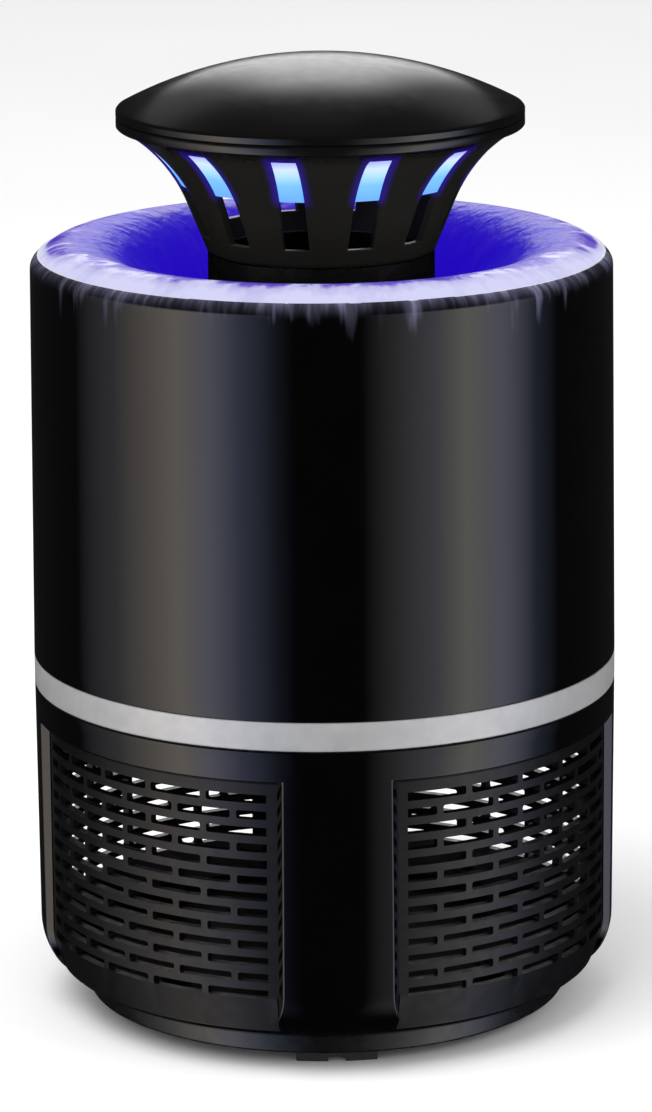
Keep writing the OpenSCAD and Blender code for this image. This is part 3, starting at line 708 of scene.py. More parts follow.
def black_gloss(name, colours, painted_spill=False):
    """Polished black plastic, matt on the collector's floor. For the housing, streaks of the
    mouth's light are also painted on as glow, running down from its top edge."""
    finish = plastic(name, colours.gloss_black, 0.03, 0.07, 0.0000012, 1400)
    floor_height, floor_reach, floor_roughness = 0.0088, 0.0585, 0.75
    inside = finish.calc("MULTIPLY", finish.calc("GREATER_THAN", finish.z, floor_height),
                         finish.calc("LESS_THAN", finish.radius(), floor_reach))
    finish.drive("Roughness", finish.calc(
        "MAXIMUM", finish.polish, finish.calc("MULTIPLY", inside, floor_roughness)))
    if painted_spill:
        # Painted light: pale streaks of the mouth's glow on the housing, fading down from its top edge.
        mouth = top("housing_shell") * MM
        around = add(finish.tree, "ShaderNodeCombineXYZ", {
            0: finish.calc("SINE", finish.turn()), 1: finish.calc("COSINE", finish.turn()),
            2: finish.calc("MULTIPLY", finish.z, 2)}).outputs[0]
        haze = finish.span(finish.noise(5, (1, 1, 1), 2, around), 0.35, 0.65, 0.25, 1.0)
        rays = finish.span(finish.noise(38, (1, 1, 1), 2, around), 0.4, 0.7, 0.35, 1.0)
        rays = finish.calc("MULTIPLY", rays, haze)
        reach_down = finish.span(finish.noise(18, (1, 1, 1), 2, around), 0.48, 0.72, 0.0035, 0.013)
        depth = finish.calc("DIVIDE", finish.calc("SUBTRACT", mouth, finish.z), reach_down)
        fade = finish.calc("POWER", finish.span(depth, 0.0, 1.0, 1.0, 0.0, "LINEAR"), 2.6)
        painted_glow = finish.calc("MULTIPLY", finish.calc("MULTIPLY", rays, fade), 0.5)
        finish.drive("Emission Color", finish.blend(painted_glow, (0, 0, 0, 1), colours.rim_light))
        finish.shader.inputs["Emission Strength"].default_value = 1.0
    return finish.material


def head_black(name, colours, head):
    """Satin-gloss black of the lamp head, with a blue glow painted round the lit openings, where their
    light would bleed onto it.
    """
    finish = plastic(name, None, 0.8, 1.1, 0.0000025, 2400)
    seam = top("head_shell") * MM
    change = (seam - 0.006, seam - 0.001)
    dull = finish.span(finish.z, *change, 0.36, 0.2)
    finish.drive("Roughness", finish.calc("MULTIPLY", dull, finish.polish))
    neck = finish.span(finish.z, *change, 1, 0)
    finish.drive("Base Color", finish.blend(neck, colours.satin_black, colours.neck_black))
    # Painted light: a blue halo on the plastic beside each opening, at the height of the diffuser.
    slots = math.tau / head.openings
    turn = finish.calc("SUBTRACT", finish.turn(), head.opening_turn)
    nearest = finish.calc("ABSOLUTE", finish.calc(
        "SUBTRACT", finish.calc("FLOORED_MODULO", finish.calc("ADD", turn, slots / 2), slots),
        slots / 2))
    aside = finish.calc("MULTIPLY", finish.calc("SINE", nearest), finish.radius())
    edge, spread = head.opening_width * MM / 2, 0.0022
    beside = finish.span(aside, edge, edge + spread, 1, 0)
    low, high = bottom("light_diffuser") * MM, top("light_diffuser") * MM
    above = finish.span(finish.z, low - 0.0018, low + 0.001)
    under = finish.span(finish.z, high - 0.002, high + 0.0005, 1, 0)
    painted_glow = finish.calc("MULTIPLY", finish.calc("MULTIPLY", above, under), beside)
    painted_halo_blue = (0.012, 0.0, 0.19, 1)
    finish.drive("Emission Color", finish.blend(painted_glow, (0, 0, 0, 1), painted_halo_blue))
    finish.shader.inputs["Emission Strength"].default_value = 1.0
    return finish.material


def lit_mouth(name, colours, body):
    """Clear moulding with its light painted on as glow: deep blue in the throat, pale at the lip, with
    soft painted rays.
    """
    finish = Finish(name, {
        "Base Color": (0.01, 0.008, 0.03, 1), "Roughness": 0.3, "Specular IOR Level": 0.2,
        "Emission Strength": 1.0})
    crest = (reach("inlet_funnel") - body.crest_inset) * MM
    throat, lip = crest - 0.021, crest + 0.005
    radius, turn = finish.radius(), finish.turn()
    around = add(finish.tree, "ShaderNodeCombineXYZ", {
        0: finish.calc("SINE", turn), 1: finish.calc("COSINE", turn),
        2: finish.calc("MULTIPLY", radius, 12)}).outputs[0]
    wisps = finish.span(finish.noise(6, (1, 1, 1), 5, around), 0.32, 0.68)
    fine_rays = finish.span(finish.noise(22, (1, 1, 1), 3, around), 0.3, 0.7)
    rays = finish.calc("ADD", finish.calc("MULTIPLY", wisps, 0.6),
                       finish.calc("MULTIPLY", fine_rays, 0.4))
    along = finish.span(radius, throat, lip, 0, 1, "LINEAR")
    # Painted shade: inside the lip's outer edge, the mouth is painted darker and more violet at the rear
    # than at the front.
    behind = finish.span(finish.y, -0.03, 0.004, 0.0, 0.22)
    inward = finish.span(radius, crest + 0.0042, crest + 0.0062, 1.0, 0.0)
    along = finish.calc("SUBTRACT", along, finish.calc("MULTIPLY", behind, inward))
    contrast = finish.span(along, 0.6, 0.95, 0.62, 0.15)
    swung = finish.calc("ADD", along, finish.calc(
        "MULTIPLY", finish.calc("SUBTRACT", rays, 0.5), contrast))
    base = finish.ramp(swung, [
        (0.0, colours.throat_light), (0.35, (0.025, 0.004, 0.50)), (0.62, colours.slope_light),
        (0.78, (0.16, 0.11, 0.55)), (0.88, colours.rim_light), (1.0, (0.66, 0.66, 0.90))])
    finish.drive("Emission Color", base)
    finish.relief(rays, 0.0004)
    return finish.material


def lit_diffuser(name, colours):
    """Frosted ring behind the openings: lavender at its top, white, then sky blue."""
    finish = Finish(name, {
        "Base Color": (0.2, 0.3, 0.5, 1), "Roughness": 0.4, "Emission Strength": 1.15})
    low, high = bottom("light_diffuser") * MM, top("light_diffuser") * MM
    level = finish.span(finish.z, low, high, 0, 1, "LINEAR")
    wave = finish.calc("ADD", level, finish.calc(
        "MULTIPLY", finish.calc("SUBTRACT", finish.noise(70), 0.5), 0.16))
    finish.drive("Emission Color", finish.ramp(wave, [
        (0.0, (0.06, 0.28, 0.78)), (0.35, colours.lamp_light), (0.52, (0.30, 0.55, 0.90)),
        (0.68, (0.52, 0.62, 0.92)), (0.84, (0.30, 0.30, 0.80)), (1.0, (0.40, 0.33, 0.78))]))
    finish.relief(finish.noise(900), 0.00001)
    return finish.material


def lit_lamp(name):
    """A small lamp, its colour varying a little from place to place."""
    finish = Finish(name, {"Base Color": (0.8, 0.8, 0.9, 1), "Emission Strength": 2.0})
    finish.drive("Emission Color", finish.ramp(
        finish.noise(700), [(0.3, (0.25, 0.2, 1.0)), (0.7, (0.6, 0.6, 1.0))]))
    return finish.material


def circuit_board(name, lacquer, track, scale):
    """Lacquered board with faint tracks under its solder mask."""
    finish = Finish(name, {"Roughness": 0.3})
    where = add(finish.tree, "ShaderNodeTexVoronoi", {
        "Vector": finish.place, "Scale": scale, "Randomness": 0.4},
        distance="MANHATTAN")
    lines = finish.span(finish.calc("PINGPONG", where.outputs[0], 0.25), 0.09, 0.12)
    finish.drive("Base Color", finish.blend(lines, lacquer, track))
    finish.relief(lines, 0.00003)
    return finish.material


def windings(name, colour):
    """Enamelled wire, laid turn by turn."""
    finish = Finish(name, {"Metallic": 1.0, "Roughness": 0.3})
    finish.mottle(colour, 0.2, 500)
    turns = add(finish.tree, "ShaderNodeTexWave", {
        "Vector": finish.place, "Scale": 480, "Distortion": 1.5, "Detail": 1},
        bands_direction="Z").outputs["Fac"]
    finish.relief(turns, 0.0001)
    return finish.material


def finishes(context):
    """Every material by its slot's name, made once."""
    colours = context.scene.trap_colours
    head, body = in_mm(context.scene.trap_head), in_mm(context.scene.trap_body)
    steel = (0.62, 0.62, 0.64)
    made = {
        "black_gloss": lambda n: black_gloss(n, colours),
        "black_gloss_lit": lambda n: black_gloss(n, colours, painted_spill=True),
        "head_black": lambda n: head_black(n, colours, head),
        "lit_funnel": lambda n: lit_mouth(n, colours, body),
        "lit_diffuser": lambda n: lit_diffuser(n, colours),
        "lit_led": lit_lamp,
        "mesh_satin": lambda n: plastic(
            n, (0.004, 0.004, 0.0042), 0.28, 0.40, 0.000006, 3200, specular=0.3).material,
        "black_satin": lambda n: plastic(
            n, (0.0048, 0.0048, 0.005), 0.22, 0.32, 0.000004, 3000).material,
        "foot_rubber": lambda n: plastic(
            n, (0.022, 0.022, 0.022), 0.65, 0.8, 0.00001, 1800, specular=0.3).material,
        "trim_metal": lambda n: metal(
            n, colours.metal, 0.34, 0.44, (0.04, 0.04, 6.0), 1500, 0.3).material,
        "white_board": lambda n: circuit_board(n, (0.72, 0.74, 0.72, 1), (0.62, 0.65, 0.62, 1), 160),
        "green_board": lambda n: circuit_board(n, (0.012, 0.11, 0.03, 1), (0.03, 0.19, 0.06, 1), 260),
        "white_plastic": lambda n: plastic(n, (0.7, 0.7, 0.66), 0.35, 0.5).material,
        "fan_plastic": lambda n: plastic(n, (0.035, 0.035, 0.038), 0.3, 0.42).material,
        "motor_steel": lambda n: metal(n, steel, 0.28, 0.42, (1, 1, 5)).material,
        "screw_steel": lambda n: metal(n, steel, 0.2, 0.34).material,
        "bronze": lambda n: metal(n, (0.5, 0.32, 0.14), 0.35, 0.5).material,
        "copper": lambda n: windings(n, (0.6, 0.25, 0.09)),
        "magnet": lambda n: plastic(n, (0.05, 0.05, 0.055), 0.5, 0.7, 0.00002, 1500).material,
        "lead_black": lambda n: plastic(n, (0.012, 0.012, 0.012), 0.4, 0.55).material,
        "lead_red": lambda n: plastic(n, (0.3, 0.012, 0.012), 0.4, 0.55).material,
    }
    return {slot: bpy.data.materials.get("trap_" + slot) or make("trap_" + slot)
            for slot, make in made.items()}


def settle(context, piece, body, slot, *nodes, finish=None):
    """Gives a new piece its material, its body and the nodes that it stands for."""
    material = finishes(context)[finish or slot]
    piece.data.materials.clear()
    piece.data.materials.append(material)
    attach(piece, body)
    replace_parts(piece, *nodes)
    return piece


# ---- pieces ----

class TRAP_OT_collector(bpy.types.Operator):
    """Collector wall with four bevelled windows, a rounded bottom edge and screw bosses"""
    bl_idname = "trap.collector"
    bl_label = "Collector"

    def execute(self, context):
        body = in_mm(context.scene.trap_body)
        rim_r, rim_z = reach("collector_shell"), top("collector_shell")
        base = bottom("collector_shell")
        low_r = rim_r - body.lean
        centre = (low_r - body.corner, base + body.corner - body.corner_sink)
        floor = base + body.wall
        inner_corner = body.corner - body.wall + body.lean
        bevel_rise, bevel_turn = 1.1, 1.7
        mesh_r = rim_r - body.recess

        def ledge_angle(radius):
            return -math.degrees(math.asin((centre[1] - body.ledge) / radius))

        rings = (0, 20, 40)
        outer = [(r, base) for r in rings]
        outer += arc(centre, body.corner, -90, ledge_angle(body.corner), 8)
        outer = [(r, max(z, base)) for r, z in outer]
        ledge_row = len(outer) - 1
        outer += arc(centre, body.corner, ledge_angle(body.corner), 0, 9)[1:]
        inner = [(r, floor) for r in rings]
        inner += [(r, max(z, floor)) for r, z in arc(
            centre, inner_corner, -90, ledge_angle(inner_corner), 8)]
        inner += arc(centre, inner_corner, ledge_angle(inner_corner), 0, 9)[1:]
        straight = 8
        for k in range(1, straight + 1):
            high = centre[1] + (body.window_top + bevel_rise - centre[1]) * k / straight
            low = centre[1] + (body.window_top - centre[1]) * k / straight
            lean = (high - centre[1]) / (rim_z - centre[1])
            outer.append((low_r + body.lean * lean, high))
            inner.append((mesh_r, low))
        top_row = len(outer) - 1
        land, soft, slack = 3, 0.5, 0.12
        outer += [(rim_r - 0.02, rim_z - land), (rim_r, rim_z - soft), (rim_r - slack, rim_z - slack),
                  (rim_r - soft, rim_z)]
        inner += [(mesh_r, rim_z - land), (mesh_r, rim_z - soft), (mesh_r + 0.1, rim_z - 0.1),
                  (mesh_r + 0.4, rim_z)]

        across, between = 26, 8
        turns = [math.degrees(body.pillar_turn) + 45 + q for q in QUARTERS]
        half = math.degrees(body.window_half)
        per_window = across + between

        def turn(row, column, skin):
            window, step = divmod(column, per_window)
            radius = (inner if skin else outer)[row][0]
            edge = half + (bevel_turn * max(0, radius - mesh_r) / body.recess if not skin else 0)
            if step <= across:
                return turns[window] - edge + 2 * edge * step / across
            return turns[window] + edge + (90 - 2 * edge) * (step - across) / between

        def is_open(row, column):
            return ledge_row <= row < top_row and column % per_window < across

        wall = pierced("collector_wall", outer, inner, per_window * 4, is_open, turn)
        bevel(wall, body.edge)
        settle(context, wall, "collector", "black_gloss", "collector_shell")
        hole_r, post_r, foot, crown = 1.3, 3.2, floor - 0.5, base + 9.5
        post = lathe("post", rounded([
            (hole_r, foot), (post_r, foot), (post_r, crown, 0.4), (hole_r, crown, 0.3)]), 32)
        posts = copies("collector_bosses", post, ring_of(body.screw_ring, 0, turns),
                       finishes(context)["black_gloss"])
        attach(posts, "collector")
        return {"FINISHED"}


class TRAP_OT_mesh_inserts(bpy.types.Operator):
    """The four slotted mesh inserts behind the collector's windows"""
    bl_idname = "trap.mesh_inserts"
    bl_label = "Mesh inserts"

    def execute(self, context):
        body = context.scene.trap_body
        mesh = context.scene.trap_mesh
        tree = mesh_tree()
        radius = reach("collector_shell") * MM - body.recess
        corner_z = bottom("collector_shell") * MM + body.corner - body.corner_sink
        corner_r = reach("collector_shell") * MM - body.lean - body.corner
        ledge_r = corner_r + math.sqrt(body.corner ** 2 - (corner_z - body.ledge) ** 2)
        half = body.window_half
        top_margin, tuck, overlap, slack, slope_top = 0.0033, 0.0016, 1.5, 0.05, 0.0172
        inserts = {"grille_front_right": (0, 1), "grille_rear_right": (1, -1),
                   "grille_rear_left": (2, 1), "grille_front_left": (3, -1)}
        for node, (quarter, side) in inserts.items():
            points = bpy.data.meshes.new(node)
            piece = place(node.replace("grille", "mesh"), points)
            grown(piece, tree, {
                "Rows": mesh.rows, "Row Pitch": mesh.row_pitch, "Top Row": body.window_top - top_margin,
                "Slot Pitch": mesh.slot_pitch * radius, "Slot Height": mesh.slot_height,
                "Slot Corner": mesh.slot_corner, "Bar": mesh.bar,
                "Shift": side * mesh.shift * radius,
                "Half Width": (half + math.radians(overlap)) * radius,
                "Foot Half Width": (half - math.radians(slack)) * radius,
                "Foot Height": corner_z, "Top": body.window_top + tuck, "Bottom": body.ledge,
                "Slope Top": slope_top, "Slope Depth": radius - ledge_r, "Radius": radius,
                "Thickness": mesh.thickness,
                "Turn": body.pillar_turn + math.radians(45 + 90 * quarter),
                "Material": finishes(context)["mesh_satin"]}, sharp=40)
            settle(context, piece, "collector", "mesh_satin", node)
        return {"FINISHED"}


class TRAP_OT_foot_ring(bpy.types.Operator):
    """Foot ring under the collector, with its rubber pads"""
    bl_idname = "trap.foot_ring"
    bl_label = "Foot ring"

    def execute(self, context):
        low, high, rim = bottom("base_plate"), top("base_plate"), reach("base_plate")
        ring_width, recess = 10, 2
        hollow_r, hollow_z = rim - ring_width, low + recess
        ring = lathe("foot_ring", rounded([
            (0, hollow_z), (hollow_r, hollow_z, 0.4), (hollow_r, low, 0.4), (rim, low, 0.7),
            (rim, high), (0, high)]))
        settle(context, ring, "collector", "black_satin", "base_plate")

        turn = math.degrees(context.scene.trap_body.pillar_turn)
        inner_r, outer_r, span, notch_half, notch_z = 45.4, 51.4, 20, 2.2, 1.2
        steps = [k - span / 2 for k in range(span + 1)]
        line = [(t, 0) for t in steps if t < -notch_half]
        line += [(-notch_half, 0), (-notch_half, notch_z)]
        line += [(t, notch_z) for t in steps if abs(t) < notch_half]
        line += [(notch_half, notch_z), (notch_half, 0)]
        line += [(t, 0) for t in steps if t > notch_half]
        section = line + [(t, top("feet")) for t, _ in reversed(line)]
        count = len(section)
        vertices = [at(r, t, z) for r in (inner_r, outer_r) for t, z in section]
        faces = [(k, (k + 1) % count, count + (k + 1) % count, count + k) for k in range(count)]
        half = count // 2
        for level in (0, count):
            faces += [(level + k, level + k + 1, level + count - 2 - k, level + count - 1 - k)
                      for k in range(half - 1)]
        pad = solid("pad", vertices, faces)
        bevel(pad, 0.5, 3, 50)
        baked(pad, 50)
        pads = copies("foot_pads", pad, [((0, 0, 0), (0, 0, turn + q)) for q in QUARTERS],
                      finishes(context)["foot_rubber"])
        settle(context, pads, "collector", "foot_rubber", "feet")
        return {"FINISHED"}


class TRAP_OT_housing(bpy.types.Operator):
    """Upper housing with its rounded shoulder, button dish and socket hole"""
    bl_idname = "trap.housing"
    bl_label = "Upper housing"

    def execute(self, context):
        body = in_mm(context.scene.trap_body)
        low, high = bottom("housing_shell"), top("housing_shell")
        seat, ring_top = reach("trim_ring"), top("trim_ring")
        skirt, skirt_in, cavity, lip = 62.75, 60.6, 62.4, reach("inlet_funnel") + 0.1
        upper_r, lip_low, cavity_low = seat - body.draft, high - 4, ring_top + 2.2
        wall_h, parts = high - body.shoulder - ring_top, 24
        wall = [(seat - body.draft * k / parts, ring_top + wall_h * k / parts)
                for k in range(1, parts)]
        outline = rounded([
            (skirt, low), (skirt, ring_top), (seat, ring_top, 0.35), *wall,
            (upper_r - 0.02, high, body.shoulder), (lip, high, 0.25), (lip, lip_low),
            (cavity, lip_low), (cavity, cavity_low), (skirt_in, cavity_low), (skirt_in, low)], 8)
        shell = lathe("housing_wall", outline, 256)
        button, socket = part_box("button_cap"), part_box("power_socket")
        button_z = (button[0].z + button[1].z) / 2 / MM
        socket_z = (socket[0].z + socket[1].z) / 2 / MM
        outside, inside, boss_back, boss_front, dish, mouth = 80, 50, 58.5, 62.3, 62.6, 63.9
        boss = rear_plug("boss", 10, button_z, boss_back, boss_front)
        join = shell.modifiers.new("Boss", "BOOLEAN")
        join.operation = "UNION"
        join.solver = "EXACT"
        join.object = boss
        baked(shell)
        bpy.data.objects.remove(boss)
        cut(shell, rear_plug("dish", 8.25, button_z, dish, outside),
            rear_plug("bore", 5.25, button_z, inside, outside),
            rear_plug("socket", 4.3, socket_z, inside, outside),
            rear_plug("mouth", 6, socket_z, mouth, outside))
        settle(context, shell, "upper_unit", "black_gloss", "housing_shell", finish="black_gloss_lit")
        return {"FINISHED"}


class TRAP_OT_trim_band(bpy.types.Operator):
    """Satin metal ring between the collector and the housing"""
    bl_idname = "trap.trim_band"
    bl_label = "Trim band"

    def execute(self, context):
        low, high, rim = bottom("trim_ring"), top("trim_ring"), reach("trim_ring")
        back = rim - 2.2
        band = lathe("trim_band", rounded([
            (back, low), (rim, low, 0.45), (rim, high, 0.3), (back, high)]), 256)
        settle(context, band, "upper_unit", "trim_metal", "trim_ring")
        return {"FINISHED"}


class TRAP_OT_bell_mouth(bpy.types.Operator):
    """Bell mouth with its light painted on as glow, leading down to the fan"""
    bl_idname = "trap.bell_mouth"
    bl_label = "Bell mouth"

    def execute(self, context):
        high, low, rim = top("inlet_funnel"), bottom("inlet_funnel"), reach("inlet_funnel")
        crest_r = rim - in_mm(context.scene.trap_body).crest_inset
        roll, lip_roll, wall, skirt = 21, 9, 1.6, 8.2
        inner_c, outer_c = (crest_r, high - roll), (crest_r, high - lip_roll)
        end = math.degrees(math.acos((rim - crest_r) / lip_roll))
        back = math.degrees(math.acos((rim - wall - crest_r) / (lip_roll - wall)))
        flange = high - skirt
        outline = [(crest_r - roll, low)]
        outline += arc(inner_c, roll, 180, 90, 36)
        outline += arc(outer_c, lip_roll, 90, end, 14)[1:]
        outline += [(rim, flange), (rim - wall, flange)]
        outline += arc(outer_c, lip_roll - wall, back, 90, 10)
        outline += arc(inner_c, roll - wall, 90, 180, 30)[1:]
        outline += [(crest_r - roll + wall, low)]
        mouth = lathe("bell_mouth", outline, 256)
        mouth.visible_diffuse = False
        mouth.visible_glossy = False
        settle(context, mouth, "upper_unit", "lit_funnel", "inlet_funnel")
        return {"FINISHED"}


def flare(height, head, back=0.0):
    """Radius of the neck and its flare at a height; back sets it inside the surface."""
    if height >= head.cone_top:
        curve = head.flare_radius + back
        return head.flare_out - math.sqrt(max(curve ** 2 - (height - head.flare_height) ** 2, 0))
    drop = head.cone_top - head.flare_height
    cone_r = head.flare_out - math.sqrt(head.flare_radius ** 2 - drop ** 2)
    part = (height - head.seam) / (head.cone_top - head.seam)
    slant = 1.06
    return head.neck_radius + (cone_r - head.neck_radius) * part - back * slant


class TRAP_OT_lamp_head(bpy.types.Operator):
    """Flared neck with its openings, and the domed lid above the rim's seam"""
    bl_idname = "trap.lamp_head"
    bl_label = "Lamp head"

    def execute(self, context):
        head = in_mm(context.scene.trap_head)
        rim, seam = reach("head_shell"), top("head_shell")
        low_open, high_open, rim_low = head.opening_bottom, head.opening_top, head.rim_bottom
        tall, soft, rim_in = high_open - low_open, 0.35, rim - 2.2
        heights = [head.seam, head.seam + 0.4, head.seam + 1.2, low_open - 1.4, low_open]
        heights += [low_open + tall * k / 18 for k in range(1, 19)]
        heights += [high_open + 1, rim_low]
        outer = [(flare(z, head), z) for z in heights]
        inner = [(min(flare(z, head, head.wall), rim_in), z) for z in heights]
        inner[-1] = (inner[-2][0] + 1.2, rim_low)
        outer[0] = (outer[0][0] - soft, outer[0][1])
        outer += [(rim - soft, rim_low + 0.05), (rim, rim_low + 0.45), (rim, seam - soft),
                  (rim - 0.3, seam)]
        inner += [(rim_in, rim_low + 0.3), (rim_in, rim_low + 0.6), (rim_in, seam - soft),
                  (rim_in, seam)]
        across, between = 6, 8
        step_turn = 360 / head.openings
        first = math.degrees(head.opening_turn)
        open_rows = [i for i, (_, z) in enumerate(outer) if low_open - 0.01 < z < high_open - 0.01]

        def turn(row, column, skin):
            opening, step = divmod(column, across + between)
            radius = (inner if skin else outer)[row][0]
            half = math.degrees(math.asin(head.opening_width / 2 / radius))
            middle = first + opening * step_turn
            if step <= across:
                return middle - half + 2 * half * step / across
            return middle + half + (step_turn - 2 * half) * (step - across) / between

        def is_open(row, column):
            return row in open_rows and column % (across + between) < across

        shell = pierced("lamp_neck", outer, inner, (across + between) * head.openings, is_open, turn)
        bevel(shell, 0.25, 2, 42)
        settle(context, shell, "upper_unit", "head_black", "head_shell")

        ledge, edge, shell_t = 0.4, 2, 2
        crown, base_r, dome_z = top("head_cap"), rim - ledge, seam + edge
        rise = crown - dome_z
        dome_r = (base_r ** 2 + rise ** 2) / (2 * rise)
        middle = (0, crown - dome_r)
        spread = math.degrees(math.asin(base_r / dome_r))
        dome = arc(middle, dome_r, 90, 90 - spread, 40)
        under = arc(middle, dome_r - shell_t, 90 - spread + 2.4, 90, 20)
        lid = lathe("lamp_lid", rounded([
            *dome[:-1], (base_r, dome_z, 0.5), (rim, dome_z - 0.55, 0.3), (rim, seam, 0.35),
            (rim - shell_t, seam), (rim - shell_t, dome_z - 0.6), *under[:-1],
            (0, crown - shell_t)]), 256)
        settle(context, lid, "upper_unit", "head_black", "head_cap")
        return {"FINISHED"}


class TRAP_OT_lamp(bpy.types.Operator):
    """Frosted light ring behind the openings, and the ring of small lamps above it"""
    bl_idname = "trap.lamp"
    bl_label = "Lamp"

    def pad(self, head, levels):
        """The ring's pad in one opening, just under the neck's surface."""
        front, back, gap, columns = 0.45, 2.2, 0.12, 7
        vertices, faces = [], []
        for z in levels:
            for inset in (front, back):
                radius = flare(z, head, inset)
                half = math.degrees(math.asin((head.opening_width / 2 - gap) / radius))
                vertices += [at(radius, half * k / 3, z) for k in range(-3, 4)]

        def corner(level, skin, column):
            return (2 * level + skin) * columns + column

        for k in range(len(levels) - 1):
            for skin in (0, 1):
                faces += [(corner(k, skin, i), corner(k, skin, i + 1),
                           corner(k + 1, skin, i + 1), corner(k + 1, skin, i))
                          for i in range(columns - 1)]
            faces += [(corner(k, 0, i), corner(k, 1, i), corner(k + 1, 1, i), corner(k + 1, 0, i))
                      for i in (0, columns - 1)]
        for end in (0, len(levels) - 1):
            faces += [(corner(end, 0, i), corner(end, 0, i + 1),
                       corner(end, 1, i + 1), corner(end, 1, i))
                      for i in range(columns - 1)]
        return solid("pad", vertices, faces, 50)

    def execute(self, context):
        head = in_mm(context.scene.trap_head)
        low, high, rim = bottom("light_diffuser"), top("light_diffuser"), reach("light_diffuser")
        pad_low, pad_top, band_inset, band_wall = low + 0.1, 196.2, 2.3, 1.6
        levels = [pad_low + (pad_top - pad_low) * k / 10 for k in range(11)]
        turns = [math.degrees(head.opening_turn) + 360 / head.openings * k
                 for k in range(head.openings)]
        pads = copies("pads", self.pad(head, levels), [((0, 0, 0), (0, 0, t)) for t in turns],
                      finishes(context)["lit_diffuser"])
        band = [(flare(z, head, band_inset), z) for z in levels]
        band = [(r, z) for r, z in band if r < rim] + [(rim, high)]
        ring = lathe("band", rounded([(r - band_wall, z) for r, z in reversed(band)] + band))
        diffuser = joined("lamp_diffuser", [pads, ring])
        diffuser.visible_diffuse = False
        diffuser.visible_glossy = False
        settle(context, diffuser, "upper_unit", "lit_diffuser", "light_diffuser")
        seat, lamp_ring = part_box("leds")[1].z / MM, 31.2
        corners = ((-1, -1), (1, -1), (1, 1), (-1, 1))
        base = [Vector((1.6 * x, 1.2 * y, 0)) * MM for x, y in corners]
        face = [Vector((1.4 * x, 1.0 * y, -1)) * MM for x, y in corners]
        item = solid("led", base + face, [
            (0, 1, 2, 3), (4, 5, 6, 7), (0, 1, 5, 4), (1, 2, 6, 5), (2, 3, 7, 6), (3, 0, 4, 7)])
        bevel(item, 0.15)
        baked(item)
        turns = [30 * k for k in range(12)]
        lamps = copies("lamp_leds", item, ring_of(lamp_ring, seat, turns),
                       finishes(context)["lit_led"])
        settle(context, lamps, "upper_unit", "lit_led", "leds")
        return {"FINISHED"}


class TRAP_OT_button(bpy.types.Operator):
    """Dished power button at the rear"""
    bl_idname = "trap.button"
    bl_label = "Power button"

    def execute(self, context):
        low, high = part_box("button_cap")
        middle = (low.z + high.z) / 2 / MM
        back, face, flange = low.y / MM, high.y / MM, 58.2
        flange_r, cap_r, dish_r, dish_depth, parts = (high.x - low.x) / 2 / MM, 5, 4.1, 0.45, 12
        dish = [(dish_r * (1 - k / parts), face - dish_depth * math.sin(math.pi / 2 * k / parts))
                for k in range(parts + 1)]
        outline = rounded([
            (0, back), (flange_r, back, 0.2), (flange_r, flange, 0.2), (cap_r, flange),
            (cap_r, face, 0.6), *dish])
        cap = lathe("button_face", outline, 96)
        aimed_back(cap, middle)
        settle(context, cap, "power_button", "black_satin", "button_cap")
        return {"FINISHED"}


class TRAP_OT_screws(bpy.types.Operator):
    """Pan-head screws with cross recesses"""
    bl_idname = "trap.screws"
    bl_label = "Screws"

    def screw(self, shank_r, shank_h, head_r, head_h):
        """A screw that points up from its seat, its domed head below."""
        item = lathe("screw", rounded([
            (0, -head_h), (head_r * 0.55, -head_h * 0.96), (head_r * 0.85, -head_h * 0.7),
            (head_r, -head_h * 0.3, 0.12), (head_r, 0, 0.08), (shank_r, 0), (shank_r, shank_h - 0.5),
            (shank_r * 0.55, shank_h), (0, shank_h)]), 40)
        for quarter in (0, 90):
            blade = solid("blade", [Vector((x, y, z)) * MM for x in (-head_r * 0.6, head_r * 0.6)
                                    for y in (-0.35, 0.35) for z in (-head_h - 1, -head_h * 0.45)],
                          [(0, 1, 3, 2), (4, 5, 7, 6), (0, 1, 5, 4), (2, 3, 7, 6), (0, 2, 6, 4),
                           (1, 3, 7, 5)])
            blade.data.transform(Matrix.Rotation(math.radians(quarter), 4, "Z"))
            cut(item, blade)
        return item

    def execute(self, context):
        body = in_mm(context.scene.trap_body)
        windows = [math.degrees(body.pillar_turn) + 45 + q for q in QUARTERS]
        thirds = [30, 150, 270]
        head_h, outer_ring, inner_ring, neck_ring = 1.6, 57.5, 47, 25
        steel = finishes(context)["screw_steel"]
        base = copies("base_screw_heads", self.screw(1.25, 9, 2.8, head_h), ring_of(
            body.screw_ring, bottom("base_screws") + head_h, windows), steel)
        settle(context, base, "collector", "screw_steel", "base_screws")
        seat = bottom("tray_screws") + head_h
        outer = copies("tray_outer", self.screw(1.25, 14, 2.6, head_h),
                       ring_of(outer_ring, seat, windows), steel)
        inner = copies("tray_inner", self.screw(1.25, 9, 2.6, head_h),
                       ring_of(inner_ring, seat, windows), steel)
        tray = joined("tray_screw_heads", [outer, inner])
        settle(context, tray, "upper_unit", "screw_steel", "tray_screws")
        neck_low, neck_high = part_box("neck_screws")
        neck = copies("neck_screw_heads", self.screw(1.2, 5, 2.3, 1.4), ring_of(
            neck_ring, (neck_low.z + neck_high.z) / 2 / MM, thirds, tilt=-90), steel)
        settle(context, neck, "upper_unit", "screw_steel", "neck_screws")
        return {"FINISHED"}


class TRAP_OT_inner_parts(bpy.types.Operator):
    """Finishes of the parts inside, which keep their own shapes"""
    bl_idname = "trap.inner_parts"
    bl_label = "Inner parts"

    def execute(self, context):
        made = finishes(context)
        replaced = {node for piece in context.scene.objects for node in piece.get("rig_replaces", [])}
        for part in frame["record"]["subparts"]:
            if part["node"] in replaced:
                continue
            node = frame["nodes"][part["node"]]
            for slot in node.material_slots:
                slot.material = made[part["material_slot"]]
        return {"FINISHED"}


